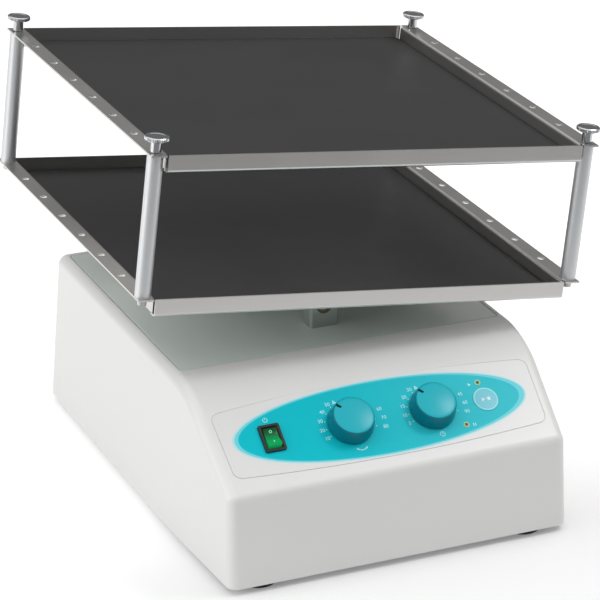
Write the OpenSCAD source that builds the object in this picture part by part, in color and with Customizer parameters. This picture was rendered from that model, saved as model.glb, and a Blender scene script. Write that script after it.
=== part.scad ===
// Two-tier rocking platform shaker for a laboratory bench.
// Millimetres, Z up, X to the right of the control panel, Y to the rear.
// The origin is on the bench, under the middle of the housing's footprint.
// The platform is drawn at the right-hand end of its rock, its rest position.

/* [Housing] */
// Depth of the housing at its bottom edge
housing_d = 364; // [350:1:380]
// Width of the housing at its bottom edge, behind the nose
housing_w = 261; // [256:1:275]
// Width of the nose at its bottom edge
nose_w = 252; // [244:1:257]
// Height of the deck above the bench
deck_z = 124; // [118:1:132]
// Lean of each long side, from the bottom edge to the deck
side_lean = 3; // [1:0.5:4]
// Lean of each side of the nose
nose_lean = 1; // [1:0.5:5]
// Lean of the front skirt
skirt_lean = 2; // [1:0.5:4]
// Lean of the back, from the bottom edge to the deck
back_lean = 20; // [12:1:24]
// Height of the corner between the skirt and the control panel
skirt_z = 70.6; // [66:0.5:74]
// Slope of the control panel
panel_angle = 36.6; // [34:0.2:39]
// Radius of the crown between the control panel and the deck
crown_r = 78; // [60:1:84]
// Distance in front of the middle where the sides start to draw in
taper_start = 45; // [30:1:60]
// Length of the soft bend from the sides into the taper of the nose
taper_blend = 60; // [40:1:75]
// Radius of the housing's outer edges
edge_r = 8; // [6:0.5:9]
// Wall of the housing
wall = 3; // [2.5:0.1:3.6]
// Height of the rubber feet
foot_h = 5; // [4:0.5:8]
// Radius of a rubber foot
foot_r = 13; // [10:0.5:14]
// Distance of the feet from the middle, to each side
foot_x = 99; // [90:1:102]
// Distance of the feet from the front and back edges
foot_inset = 17.5; // [17:0.5:24]
// Thickness of the base plate
base_t = 2; // [1.5:0.1:3]
// Radius of the screw bosses inside the housing
boss_r = 5; // [4.5:0.1:6]

/* [Deck] */
// Distance of the deck's edge from the side of the housing
deck_margin = 7.9; // [7.5:0.1:12]
// Distance of the deck's back edge from the top of the back
deck_back_margin = 9; // [8.5:0.1:14]
// Thickness of the deck plate
deck_t = 2; // [1.5:0.1:2.5]
// Radius of the deck plate's corners
deck_corner_r = 3; // [2:0.5:6]
// Width of the ledge that carries the deck plate
ledge_w = 10; // [8:0.5:14]
// Thickness of that ledge
ledge_t = 3; // [2:0.1:4]

/* [Control panel] */
// Half width of the printed overlay along its top corners
overlay_top_hw = 117; // [114:0.1:118]
// Half width of the printed overlay along its bottom corners
overlay_low_hw = 115.3; // [112:0.1:116]
// Distance of the overlay's bottom edge from the skirt, up the slope
overlay_low = 10.8; // [9:0.1:12]
// Height of the overlay up the slope, at its middle
overlay_h = 61.1; // [58:0.1:62]
// Sweep of the overlay's top edge, corner to middle
overlay_sweep = 6; // [3:0.1:8]
// Sweep of the overlay's bottom edge, corner to middle
overlay_low_sweep = 4; // [1:0.1:5]
// Thickness of the overlay
overlay_t = 0.6; // [0.4:0.1:1]
// Radius of the overlay's corners
overlay_r = 6; // [4:0.5:8]
// Height of the controls' centre line up the slope
control_s = 40; // [39:0.1:41.5]
// Place of the power switch, from the middle to the left
switch_x = 80.8; // [76:0.1:84]
// Place of the speed knob, from the middle to the left
speed_x = 23.8; // [20:0.1:28]
// Place of the time knob, from the middle to the right
time_x = 37.1; // [33:0.1:40]
// Place of the start and stop button, from the middle to the right
button_x = 77.9; // [74:0.1:80]
// Place of the run lamp, from the middle to the right
run_lamp_x = 76.7; // [72:0.1:80]
// Height of the run lamp up the slope
run_lamp_s = 53.7; // [52:0.1:56]
// Place of the hold lamp, from the middle to the right
hold_lamp_x = 57.1; // [55:0.1:59]
// Height of the hold lamp up the slope
hold_lamp_s = 23.5; // [21:0.1:25]
// Radius of the lamps
lamp_r = 1.5; // [1:0.1:2.5]
// Radius of a knob's foot
knob_r = 16.2; // [14.8:0.1:17]
// Radius of a knob's face
knob_face_r = 14.6; // [11:0.1:14.7]
// Height of a knob
knob_h = 12.5; // [10:0.5:15]
// Radius of a knob's shaft
pot_shaft_r = 3; // [2.5:0.1:3.5]
// Radius of the start and stop button
button_r = 9.2; // [7:0.1:10]
// Travel of the start and stop button
button_travel = 0.5; // [0.3:0.1:0.8]
// Width of the power switch's bezel
bezel_w = 15.2; // [14.5:0.1:16]
// Length of the power switch's bezel
bezel_h = 20.6; // [20:0.1:22]
// Tilt of the power rocker to each side
rocker_tilt = 7; // [5:0.5:9]

/* [Rocking frame] */
// Angle of the platform at each end of its rock
rock_angle = 7; // [5:0.5:8]
// Height of the rocking axis above the bench
pivot_z = 140; // [138:0.5:142]
// Distance from the deck's front edge to the front pedestal
ped_front_gap = 31.8; // [22:0.5:40]
// Distance from the deck's back edge to the rear pedestal
ped_back_gap = 22; // [18:0.5:32]
// Width of a pedestal
pedestal_w = 21.4; // [20:0.1:24]
// Depth of a pedestal
pedestal_d = 14; // [12:0.5:18]
// Radius of the rocker shaft
shaft_r = 4; // [3.5:0.1:4.5]
// Wall of the pedestals' plain bushes
bush_wall = 2; // [1.5:0.1:2.5]
// Height of the lower tray above the rocking axis
tray_rise = 21.6; // [20:0.1:24]
// Width of the carrier plate under the lower tray
carrier_w = 120; // [100:1:150]
// Distance of the carrier plate's ends from the brackets' outer faces
carrier_edge = 1.7; // [0:0.1:4]
// Thickness of the carrier plate and its brackets
carrier_t = 2.5; // [2:0.1:3]

/* [Drive] */
// Distance of the crank's axis under the rocking axis
lever_l = 55; // [50:1:60]
// Thickness of the forked drive lever
lever_t = 10; // [8:0.5:12]
// Width of the drive lever's arm
lever_w = 14; // [13:0.5:16]
// Radius of the crank pin
crank_pin_r = 2.5; // [2:0.1:3]
// Radius of the roller on the crank pin
roller_r = 4; // [3.5:0.1:4.5]
// Side play of the roller in the lever's fork
fork_play = 1.45; // [1.4:0.05:2]
// Radius of the crank disc
crank_r = 17; // [15:0.5:20]
// Thickness of the crank disc
crank_t = 8; // [6:0.5:10]
// Radius of the gearbox
gearbox_r = 18.5; // [17:0.5:20]
// Length of the gearbox
gearbox_l = 26; // [22:1:30]
// Radius of the motor
motor_r = 17.5; // [15:0.5:18.5]
// Length of the motor
motor_l = 52; // [40:1:56]

/* [Trays] */
// Width of a tray's floor
tray_w = 305; // [290:1:320]
// Depth of a tray's floor
tray_d = 305; // [290:1:320]
// Height of a tray's lips and side walls
lip_h = 12.2; // [10:0.1:16]
// Thickness of the trays' sheet
sheet_t = 1.2; // [1:0.1:1.5]
// Inner radius of the sheet's bends
bend_r = 1; // [0.6:0.1:2]
// Width of each flange of a tray
flange_w = 12.25; // [11:0.05:20]
// Gap between a side wall's end and the lip
corner_gap = 3; // [2:0.1:5]
// Radius of the tie holes in the flanges
tie_hole_r = 2.7; // [2:0.1:3.5]
// Thickness of the mats
mat_t = 1.5; // [1:0.1:3]
// Gap between a mat and the lips
mat_gap = 1.5; // [1:0.1:4]

/* [Posts] */
// Distance of the posts from the trays' front and rear edges
post_inset = 7.7; // [6:0.1:15]
// Distance from the lower tray to the upper tray
tier_pitch = 99.9; // [80:0.1:130]
// Radius of a post
post_r = 5.5; // [4.5:0.1:5.6]
// Radius of a thumb screw's head
thumb_r = 8.3; // [7:0.1:11]
// Thickness of a thumb screw's head
thumb_head_h = 3; // [3:0.1:6]
// Length of a thumb screw's neck above the flange
thumb_neck_h = 8.5; // [5:0.1:12]
// Radius of a thumb screw's neck
thumb_neck_r = 3.7; // [3.2:0.1:4.4]
// Radius of the threads in the posts
thread_r = 2.5; // [2:0.1:2.6]

/* [Hidden] */
$fn = 48;
seat = 0.3;            // gap between pieces that lie beside each other
run_fit = 0.05;        // radial play of a turning shaft
snug = 0.02;           // radial play of a pressed or clamped shaft
eps = 0.5;             // how far a cut runs past a face
hull_fn = 32;          // roundness of the housing's blended edges

front_y = -housing_d / 2;
back_y = housing_d / 2;
body_hw = housing_w / 2;
nose_hw = nose_w / 2;
slope = tan(panel_angle);

// Corners of the housing's side profile, as [y, z]
skirt_foot = [front_y, foot_h];
nose_tip = [front_y + skirt_lean, skirt_z];
crown_tip = [nose_tip[0] + (deck_z - skirt_z) / slope, deck_z];
back_top = [back_y - back_lean, deck_z];
back_foot = [back_y, foot_h];
crown_reach = crown_r * tan(panel_angle / 2);
crown_end_y = crown_tip[0] + crown_reach;
crown_mid_z = deck_z - crown_r;

// Deck plate
deck_hw = body_hw - side_lean - deck_margin;
deck_front_y = crown_end_y + 1.5;
deck_back_y = back_top[0] - deck_back_margin;
deck_mid_y = (deck_front_y + deck_back_y) / 2;
deck_len = deck_back_y - deck_front_y;
deck_under_z = deck_z - deck_t;

// Pedestals, bushes and shaft
front_ped_y = deck_front_y + ped_front_gap;
rear_ped_y = deck_back_y - ped_back_gap - pedestal_d;
platform_y = (front_ped_y + rear_ped_y + pedestal_d) / 2;
pedestal_reach = platform_y - front_ped_y;
bush_r = shaft_r + bush_wall;
bush_flange_t = 1.5;
clip_t = 1.2;
clip_y = pedestal_reach - pedestal_d - bush_flange_t - seat;
bracket_y = clip_y - clip_t - seat;
carrier_l = 2 * (bracket_y - carrier_edge);
ped_screw_r = 2;
ped_screw_dy = pedestal_d / 2;
ped_screw_dx = pedestal_w / 2 - 5;

// Drive
crank_z = pivot_z - lever_l;
crank_e = lever_l * tan(rock_angle);
slot_hw = roller_r + fork_play;
slot_len = 2 * (crank_e + roller_r + 1);
fork_rim = 4;
lever_front_y = platform_y - lever_t / 2;
lever_back_y = platform_y + lever_t / 2;
disc_y = lever_back_y + 2.5;
bracket_t = 2.5;
gearbox_y = disc_y + crank_t + 3 + bracket_t;
output_r = 3;
deck_slot_hw = lever_w / 2 + (pivot_z - deck_under_z) * tan(rock_angle) + 2.5;

// Trays, in the platform's own frame: z = 0 at the rocking axis
side_x = tray_w / 2;
flange_hw = side_x + flange_w;
lower_z = tray_rise;
upper_z = tray_rise + tier_pitch;
post_x = (side_x + bend_r + flange_hw) / 2;
post_y = tray_d / 2 - post_inset;
tie_count = 6;
tie_pitch = 2 * post_y / (tie_count + 1);
post_len = tier_pitch - sheet_t;
floor_lap = 5;         // how far the floor and the bent edges share their flat sheet

// Base plate, feet and bosses
foot_y = housing_d / 2 - foot_inset;
boss_top = foot_h + base_t;
boss_x = deck_hw - ledge_w + 3;
boss_ys = [-housing_d / 2 + 52, housing_d / 2 - 46];
screw_r = 1.6;

// Panel pieces, along the panel's own normal: z = 0 on the panel's face
pot_w = 17;
pot_deep = 9;
pot_back = wall + seat + pot_deep;
pot_bush_r = 3.5;
board_z = -pot_back;
board_t = 1.6;
board_left = -66;
board_right = 96;
board_h = 46;
board_xs = [board_left + 6, board_right - 6];
board_ss = [control_s - board_h / 2 + 4, control_s + board_h / 2 - 4];
board_screw_r = 1.2;
nut_h = 2;
stem_end = -9;
lamps = [[run_lamp_x, run_lamp_s], [hold_lamp_x, hold_lamp_s]];
sweep_steps = 4;       // circles from the middle of the overlay's edges to each corner
rocker_hw = bezel_w / 2 - 2.2;
rocker_r = bezel_h / 2 - 2.1;
rocker_axis_z = -1;
rocker_pin_r = 1.2;
knob_lift = 0.6;
knob_rim = 1.5;
speed_pointer = 40;    // degrees to the left of straight up the slope
time_pointer = 40;

// Power supply, on the base plate in the left rear corner
supply_w = 60;
supply_l = 80;
supply_h = 38;
supply_side_gap = 34;
supply_back_gap = 40;
supply_x = supply_side_gap + supply_w / 2 - body_hw;
supply_y = back_y - supply_back_gap - supply_l / 2;

// Rear inlet
inlet_x = 70;
inlet_z = 40;
inlet_w = 48;
inlet_h = 22.5;
recess_w = inlet_w + 12;
recess_h = inlet_h + 10;
back_slope = back_lean / (deck_z - foot_h);
recess_y = back_y - (inlet_z + recess_h / 2 - foot_h) * back_slope - 1.5;
inlet_hole_w = 28;
inlet_hole_h = 20;
pad_t = 3.5;
inlet_screw_x = 20;
inlet_screw_r = 1.5;
inlet_deep = 22;
flange_t = 3;

// Fittings
foot_screw_r = 2;
foot_recess = 2.6;
socket_w = 23.6;
socket_h = 16;
socket_deep = 18;
inlet_pin_at = [[-7, -2.4], [7, -2.4], [0, 2]];
gear_screw_at = [for (a = [45 : 90 : 315]) [15.5 * cos(a), 15.5 * sin(a)]];
boss_out_r = 6;
hub_r = 10.5;
set_screw_r = 2;
lug_r = 10;
lug_hw = 34;
foot_l = 18;
collar_r = 9;
collar_l = 7;
bracket_top = tray_rise - carrier_t;

// ---------- shared shapes ----------

// A rectangle with round corners, centred
module round_rect(w, h, r) {
    square([w - 2 * r, h], center = true);
    square([w, h - 2 * r], center = true);
    for (x = [-1, 1], y = [-1, 1])
        translate([x * (w / 2 - r), y * (h / 2 - r)]) circle(r);
}

// A slot with round ends, centred, along Y
module slot_2d(w, len) {
    square([w, len - w], center = true);
    for (y = [-1, 1]) translate([0, y * (len - w) / 2]) circle(w / 2);
}

// A shaft or bore along Y, from y0 to y1
module rod_y(r, y0, y1) {
    translate([0, y0, 0]) rotate([-90, 0, 0]) cylinder(r = r, h = y1 - y0);
}

// A flat shape drawn in X and Z, thick along Y from y0 to y1
module plate_y(y0, y1) {
    translate([0, y1, 0]) rotate([90, 0, 0]) linear_extrude(y1 - y0) children();
}

// Hexagon by its width across flats
module hexagon(af) {
    circle(af / 2 / cos(30), $fn = 6);
}

// Socket-head screw that points up (+Z), with its head below z = 0
module pan_screw(r, len, head_r, head_h) {
    cylinder(r = r, h = len);
    difference() {
        translate([0, 0, -head_h]) cylinder(r = head_r, h = head_h);
        translate([0, 0, -head_h - eps]) linear_extrude(head_h / 2 + eps) hexagon(r * 1.4);
    }
}

// Places children on the control panel: x across, y up the slope, z out of it
module on_panel(x = 0, s = 0) {
    translate([0, nose_tip[0], nose_tip[1]]) rotate([panel_angle, 0, 0])
        translate([x, s, 0]) children();
}

// Places children in the tilted frame of the platform, with its axis at z = 0
module on_platform() {
    translate([0, platform_y, pivot_z]) rotate([0, rock_angle, 0]) children();
}

module at_posts() {
    for (x = [-post_x, post_x], y = [-post_y, post_y]) translate([x, y, 0]) children();
}

// ---------- housing ----------

// Centre of a circle of radius r that touches two lines from the inside.
// p is the corner; a and b are the lines' outward normals
function corner_centre(p, a, b, r) =
    let (det = a[0] * b[1] - a[1] * b[0])
    [p[0] + -r * (b[1] - a[1]) / det, p[1] + -r * (a[0] - b[0]) / det];

function unit(v) = v / norm(v);
function left_normal(p, q) = unit([p[1] - q[1], q[0] - p[0]]);

skirt_normal = left_normal(skirt_foot, nose_tip);
slope_normal = [-sin(panel_angle), cos(panel_angle)];
back_normal = left_normal(back_top, back_foot);
nose_c = corner_centre(nose_tip, skirt_normal, slope_normal, edge_r);
back_c = corner_centre(back_top, [0, 1], back_normal, edge_r);
crown_steps = 5;

// Centres of the edge balls on the right-hand side, as [x, y, z]
top_balls = concat(
    [[nose_hw - nose_lean - edge_r, nose_c[0], nose_c[1]]],
    [for (i = [0 : crown_steps]) let (a = panel_angle * (1 - i / crown_steps))
        [body_hw - side_lean - edge_r,
         crown_end_y - (crown_r - edge_r) * sin(a),
         crown_mid_z + (crown_r - edge_r) * cos(a)]],
    [[body_hw - side_lean - edge_r, back_c[0], back_c[1]]]);

// Centres of the edge rounding along the bottom, as [x, y]: the nose's corner, the soft
// bend that leads to its taper, and the back corner
taper_steps = 4;
taper_k = (body_hw - nose_hw) /
    (pow(taper_blend, 2) + 2 * taper_blend * (-taper_start - taper_blend - front_y - edge_r));
foot_rounds = concat(
    [[nose_hw - edge_r, front_y + edge_r]],
    [for (i = [taper_steps : -1 : 0]) let (run = taper_blend * i / taper_steps)
        [body_hw - edge_r - taper_k * run * run, -taper_start - run]],
    [[body_hw - edge_r, back_y - edge_r]]);

// The housing's outer form, or with a smaller r the room inside it
module housing_form(r, drop = 0) {
    hull() for (side = [-1, 1]) {
        for (c = top_balls)
            translate([side * c[0], c[1], c[2]]) sphere(r, $fn = hull_fn);
        for (c = foot_rounds)
            translate([side * c[0], c[1], foot_h - drop])
                cylinder(r = r, h = 1 + drop, $fn = hull_fn);
    }
}

// The overlay's outline: round corners, with the top and bottom edges swept as arcs
module overlay_2d(grow = 0) {
    r = overlay_r + grow;
    low = overlay_low + overlay_r;
    top = overlay_low + overlay_h - overlay_r;
    hull() for (t = [-1 : 1 / sweep_steps : 1]) {
        translate([t * (overlay_low_hw - overlay_r), low + overlay_low_sweep * t * t]) circle(r);
        translate([t * (overlay_top_hw - overlay_r), top - overlay_sweep * t * t]) circle(r);
    }
}

// Holes of the control panel, cut from z0 to z1 along its normal
module panel_holes(z0, z1) {
    for (x = [-speed_x, time_x])
        translate([x, control_s, z0]) cylinder(r = pot_bush_r + seat, h = z1 - z0);
    for (p = lamps)
        translate([p[0], p[1], z0]) cylinder(r = lamp_r + seat / 2, h = z1 - z0);
    translate([button_x, control_s, z0]) cylinder(r = button_r + seat, h = z1 - z0);
    translate([-switch_x, control_s, z0]) linear_extrude(z1 - z0)
        square([bezel_w - 1.4, bezel_h - 1.4], center = true);
}

module inlet_recess(grow, y0, y1) {
    translate([inlet_x, 0, inlet_z]) plate_y(y0, y1)
        round_rect(recess_w + 2 * grow, recess_h + 2 * grow, 3 + grow);
}

module housing_shell() color([0.91, 0.91, 0.9]) difference() {
    union() {
        difference() {
            housing_form(edge_r);
            housing_form(edge_r - wall, 2);
        }
        // Ledge under the deck plate
        translate([0, deck_mid_y, deck_under_z - ledge_t]) linear_extrude(ledge_t)
            difference() {
                square([2 * deck_hw + 3, deck_len + 3], center = true);
                square([2 * (deck_hw - ledge_w), deck_len - 2 * ledge_w], center = true);
            }
        intersection() {
            housing_form(edge_r - wall / 2);
            union() {
                // Bosses for the base plate's screws
                for (x = [-boss_x, boss_x], y = boss_ys)
                    translate([x, y, boss_top])
                        cylinder(r = boss_r, h = deck_under_z - ledge_t - boss_top + 0.2);
                // Bosses for the control board
                for (x = board_xs, s = board_ss)
                    on_panel(x, s) translate([0, 0, board_z])
                        cylinder(r = 3.2, h = pot_back - wall / 2);
                // Thick pad round the rear inlet
                inlet_recess(4, recess_y - pad_t, back_y);
            }
        }
    }
    // Pocket for the deck plate
    translate([0, deck_mid_y, deck_under_z]) linear_extrude(deck_t + eps)
        round_rect(2 * (deck_hw + seat), deck_len + 2 * seat, deck_corner_r + seat);
    translate([0, deck_mid_y, deck_under_z - ledge_t - eps]) linear_extrude(ledge_t + 2 * eps)
        square([2 * (deck_hw - ledge_w), deck_len - 2 * ledge_w], center = true);
    // Pocket for the overlay, and the holes under it
    on_panel() {
        translate([0, 0, -overlay_t]) linear_extrude(overlay_t + eps) overlay_2d(0.15);
        panel_holes(-wall - eps, eps);
    }
    for (x = [-boss_x, boss_x], y = boss_ys)
        translate([x, y, boss_top - eps]) cylinder(r = screw_r + snug, h = 14);
    for (x = board_xs, s = board_ss)
        on_panel(x, s) translate([0, 0, board_z - eps])
            cylinder(r = board_screw_r + snug, h = 8);
    inlet_recess(0, recess_y, back_y + eps);
    translate([inlet_x, 0, inlet_z]) {
        plate_y(recess_y - pad_t - eps, recess_y + eps)
            square([inlet_hole_w, inlet_hole_h], center = true);
        for (x = [-inlet_screw_x, inlet_screw_x]) translate([x, 0, 0])
            rod_y(inlet_screw_r + snug, recess_y - pad_t - eps, recess_y + eps);
    }
}

// ---------- base ----------

module base_outline() {
    hull() for (side = [-1, 1], c = foot_rounds)
        translate([side * c[0], c[1]]) circle(edge_r - wall - seat, $fn = hull_fn);
}

module at_bosses() {
    for (x = [-boss_x, boss_x], y = boss_ys) translate([x, y, foot_h]) children();
}

module at_feet() {
    for (x = [-foot_x, foot_x], y = [-foot_y, foot_y]) translate([x, y, 0]) children();
}

module base_plate() color([0.75, 0.76, 0.77]) difference() {
    translate([0, 0, foot_h]) linear_extrude(base_t) base_outline();
    at_bosses() translate([0, 0, -eps]) cylinder(r = screw_r + 0.2, h = base_t + 2 * eps);
    at_feet() translate([0, 0, foot_h - eps])
        cylinder(r = foot_screw_r + 0.2, h = base_t + 2 * eps);
}

module base_screws() color([0.7, 0.7, 0.72])
    at_bosses() pan_screw(screw_r, base_t + 10, 3, 1.8);

module rubber_feet() color([0.09, 0.09, 0.09]) at_feet() difference() {
    cylinder(r1 = foot_r - 1, r2 = foot_r, h = foot_h);
    translate([0, 0, -eps]) cylinder(r = foot_screw_r + 0.2, h = foot_h + 2 * eps);
    translate([0, 0, -eps]) cylinder(r = 4.6, h = foot_recess + eps);
}

module foot_screws() color([0.7, 0.7, 0.72]) at_feet() {
    nut_z = foot_h + base_t;
    translate([0, 0, foot_recess])
        pan_screw(foot_screw_r, nut_z + 4 - foot_recess, 4, 2);
    translate([0, 0, nut_z]) linear_extrude(3.2) difference() {
        hexagon(7);
        circle(foot_screw_r + snug);
    }
}

module deck_plate() color([0.68, 0.71, 0.69]) difference() {
    translate([0, deck_mid_y, deck_under_z]) linear_extrude(deck_t)
        round_rect(2 * deck_hw, deck_len, deck_corner_r);
    translate([0, platform_y, deck_under_z - eps]) linear_extrude(deck_t + 2 * eps)
        round_rect(2 * deck_slot_hw, lever_t + 4, 3);
    at_pedestal_screws() translate([0, 0, -eps])
        cylinder(r = ped_screw_r + 0.2, h = deck_t + 2 * eps);
    at_bracket_screws() translate([0, 0, -eps])
        cylinder(r = screw_r + snug, h = deck_t + 2 * eps);
}

// ---------- controls ----------

module control_overlay() color([0.05, 0.72, 0.8]) on_panel() difference() {
    translate([0, 0, -overlay_t]) linear_extrude(overlay_t) overlay_2d();
    panel_holes(-overlay_t - eps, eps);
}

module switch_body() color([0.06, 0.06, 0.07]) on_panel(-switch_x, control_s) {
    difference() {
        union() {
            linear_extrude(1.6) round_rect(bezel_w, bezel_h, 1.2);
            translate([0, 0, -17]) linear_extrude(17)
                square([bezel_w - 2, bezel_h - 2], center = true);
        }
        translate([0, 0, rocker_axis_z]) {
            rotate([0, 90, 0])
                cylinder(r = rocker_r + 0.4, h = 2 * rocker_hw + 2 * seat, center = true);
            linear_extrude(4) square([2 * rocker_hw + 2 * seat, 2 * rocker_r + 0.8], center = true);
            rotate([0, 90, 0])
                cylinder(r = rocker_pin_r + run_fit, h = bezel_w, center = true);
        }
    }
    for (y = [-6, 0, 6])
        translate([-2.4, y - 0.4, -24]) cube([4.8, 0.8, 7.2]);
}

module power_rocker() color([0.1, 0.62, 0.22]) on_panel(-switch_x, control_s)
    translate([0, 0, rocker_axis_z]) rotate([-rocker_tilt, 0, 0]) {
        rotate([90, 0, 90]) translate([0, 0, -rocker_hw]) linear_extrude(2 * rocker_hw)
            intersection() {
                circle(rocker_r);
                polygon([[-rocker_r, 3.8], [0, 2.4], [rocker_r, 3.8],
                         [rocker_r, -6], [-rocker_r, -6]]);
            }
        rotate([0, 90, 0])
            cylinder(r = rocker_pin_r, h = 2 * rocker_hw + 1.6, center = true);
    }

module knob(pointer) color([0.1, 0.56, 0.62]) translate([0, 0, knob_lift]) difference() {
    rotate_extrude() {
        polygon([[0, 0], [knob_r - 0.4, 0], [knob_r, 0.4], [knob_r, 3],
                 [knob_face_r, knob_h - knob_rim], [knob_face_r - knob_rim, knob_h - knob_rim],
                 [knob_face_r - knob_rim, knob_h], [0, knob_h]]);
        translate([knob_face_r - knob_rim, knob_h - knob_rim]) intersection() {
            circle(knob_rim);
            square(knob_rim);
        }
    }
    translate([0, 0, -eps]) cylinder(r = knob_face_r - 6, h = nut_h + 1.4 + eps);
    cylinder(r = pot_shaft_r + snug, h = knob_h - 2);
    rotate([0, 0, pointer]) translate([-0.7, knob_face_r - 5, knob_h - 0.5])
        cube([1.4, 6, 1]);
}

module pot_body() color([0.2, 0.35, 0.3]) difference() {
    union() {
        translate([0, 0, board_z]) linear_extrude(pot_deep)
            square([pot_w, pot_w], center = true);
        translate([0, 0, board_z]) cylinder(r = pot_bush_r, h = pot_back + nut_h);
    }
    translate([0, 0, board_z + 3]) cylinder(r = pot_shaft_r + run_fit, h = pot_back + nut_h);
}

module pot_shaft() color([0.72, 0.72, 0.7])
    translate([0, 0, board_z + 3.3]) cylinder(r = pot_shaft_r,
        h = pot_back - 3.3 + knob_lift + knob_h - 2.5);

module speed_knob() on_panel(-speed_x, control_s) knob(speed_pointer);
module time_knob() on_panel(time_x, control_s) knob(time_pointer);
module speed_pot_body() on_panel(-speed_x, control_s) pot_body();
module time_pot_body() on_panel(time_x, control_s) pot_body();
module speed_pot_shaft() on_panel(-speed_x, control_s) pot_shaft();
module time_pot_shaft() on_panel(time_x, control_s) pot_shaft();

module pot_nuts() color([0.75, 0.75, 0.75]) for (x = [-speed_x, time_x])
    on_panel(x, control_s) linear_extrude(nut_h) difference() {
        hexagon(10);
        circle(pot_bush_r + snug);
    }

module lamp() {
    translate([0, 0, -6]) cylinder(r = lamp_r + 0.4, h = 1.5);
    translate([0, 0, -6]) cylinder(r = lamp_r, h = 5.4);
    translate([0, 0, -0.6]) sphere(lamp_r);
    for (x = [-0.8, 0.8]) translate([x, 0, board_z]) cylinder(r = 0.3, h = -6 - board_z);
}

module run_lamp() color([0.1, 0.4, 0.25]) on_panel(run_lamp_x, run_lamp_s) lamp();
module hold_lamp() color([0.6, 0.4, 0.15]) on_panel(hold_lamp_x, hold_lamp_s) lamp();

module start_stop_button() color([0.55, 0.85, 0.9]) on_panel(button_x, control_s) {
    translate([0, 0, -1.4]) cylinder(r = button_r, h = 1.5);
    translate([0, 0, 0.1]) cylinder(r1 = button_r, r2 = button_r - 0.5, h = 0.4);
    translate([0, 0, stem_end]) cylinder(r = 2, h = -1.4 - stem_end);
}

module button_switch() color([0.15, 0.15, 0.16]) on_panel(button_x, control_s) {
    top = stem_end - button_travel - 0.1;
    translate([0, 0, board_z]) linear_extrude(top - board_z - 0.8)
        square([12, 12], center = true);
    translate([0, 0, top - 0.8]) cylinder(r = 3, h = 0.8);
}

module control_board() color([0.1, 0.38, 0.2]) on_panel() {
    translate([0, 0, board_z - board_t]) linear_extrude(board_t) difference() {
        translate([(board_left + board_right) / 2, control_s])
            round_rect(board_right - board_left, board_h, 2);
        for (x = board_xs, s = board_ss) translate([x, s]) circle(board_screw_r + 0.2);
    }
    // Driver chip, relay and plug on the back of the board
    for (c = [[6, 18, 12, 3], [50, 19, 15, 12], [-40, 12, 20, 9]])
        translate([c[0], control_s, board_z - board_t - c[3] / 2])
            cube([c[1], c[2], c[3]], center = true);
}

module board_screws() color([0.7, 0.7, 0.72]) for (x = board_xs, s = board_ss)
    on_panel(x, s) translate([0, 0, board_z - board_t])
        pan_screw(board_screw_r, board_t + 6, 2.2, 1.4);

// ---------- power ----------

module power_supply() color([0.8, 0.8, 0.78])
    translate([supply_x, supply_y, boss_top]) {
        linear_extrude(1.5) round_rect(supply_w + 12, supply_l + 12, 4);
        linear_extrude(supply_h) square([supply_w, supply_l], center = true);
        for (i = [-3 : 3]) translate([0, i * supply_l / 8, supply_h / 2])
            cube([supply_w + 3, supply_l / 16, supply_h * 0.6], center = true);
    }

module power_inlet() color([0.07, 0.07, 0.08]) translate([inlet_x, 0, inlet_z])
    difference() {
        union() {
            plate_y(recess_y, recess_y + flange_t) round_rect(inlet_w, inlet_h, 2);
            plate_y(recess_y - inlet_deep, recess_y + eps)
                square([inlet_hole_w - 2 * seat, inlet_hole_h - 2 * seat], center = true);
        }
        plate_y(recess_y + flange_t - socket_deep, recess_y + flange_t + eps)
            socket_2d();
        for (x = [-inlet_screw_x, inlet_screw_x]) translate([x, 0, 0])
            rod_y(inlet_screw_r + 0.2, recess_y - eps, recess_y + flange_t + eps);
        for (p = inlet_pin_at) translate([p[0], 0, p[1]])
            plate_y(recess_y - inlet_deep - eps, recess_y) square([2, 4], center = true);
    }

module socket_2d() {
    polygon([[-socket_w / 2, -socket_h / 2], [socket_w / 2, -socket_h / 2],
             [socket_w / 2, socket_h / 2 - 4], [socket_w / 2 - 4, socket_h / 2],
             [4 - socket_w / 2, socket_h / 2], [-socket_w / 2, socket_h / 2 - 4]]);
}

module inlet_pins() color([0.8, 0.78, 0.7]) translate([inlet_x, 0, inlet_z])
    for (p = inlet_pin_at) translate([p[0], 0, p[1]])
        plate_y(recess_y - inlet_deep - 8, recess_y + flange_t - 4)
            square([2 - snug, 4 - snug], center = true);

module inlet_screws() color([0.7, 0.7, 0.72]) for (x = [-inlet_screw_x, inlet_screw_x])
    translate([inlet_x + x, recess_y + flange_t, inlet_z]) rotate([90, 0, 0])
        pan_screw(inlet_screw_r, flange_t + 8, 2.6, 1.4);

// ---------- drive ----------

module at_bracket_screws() {
    for (x = [-18, 18], y = [8, 18]) translate([x, gearbox_y + y, deck_under_z]) children();
}

module motor() color([0.55, 0.56, 0.58]) translate([0, 0, crank_z]) {
    back = gearbox_y + gearbox_l;
    rod_y(motor_r, back, back + motor_l);
    rod_y(6, back + motor_l - eps, back + motor_l + 3);
    for (x = [-9, 9]) translate([x - 2.5, back + motor_l - eps, -0.4]) cube([5, 7, 0.8]);
}

module gearbox() color([0.7, 0.71, 0.72]) translate([0, 0, crank_z]) difference() {
    union() {
        rod_y(gearbox_r, gearbox_y, gearbox_y + gearbox_l);
        rod_y(boss_out_r, gearbox_y - bracket_t - 0.6, gearbox_y + 1);
    }
    rod_y(output_r + run_fit, gearbox_y - 6, gearbox_y + 14);
    for (p = gear_screw_at) translate([p[0], 0, p[1]])
        rod_y(1.5 + snug, gearbox_y - eps, gearbox_y + 6);
}

module output_shaft() color([0.75, 0.75, 0.77]) translate([0, 0, crank_z])
    rod_y(output_r, disc_y + 1, gearbox_y + 13.5);

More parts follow.
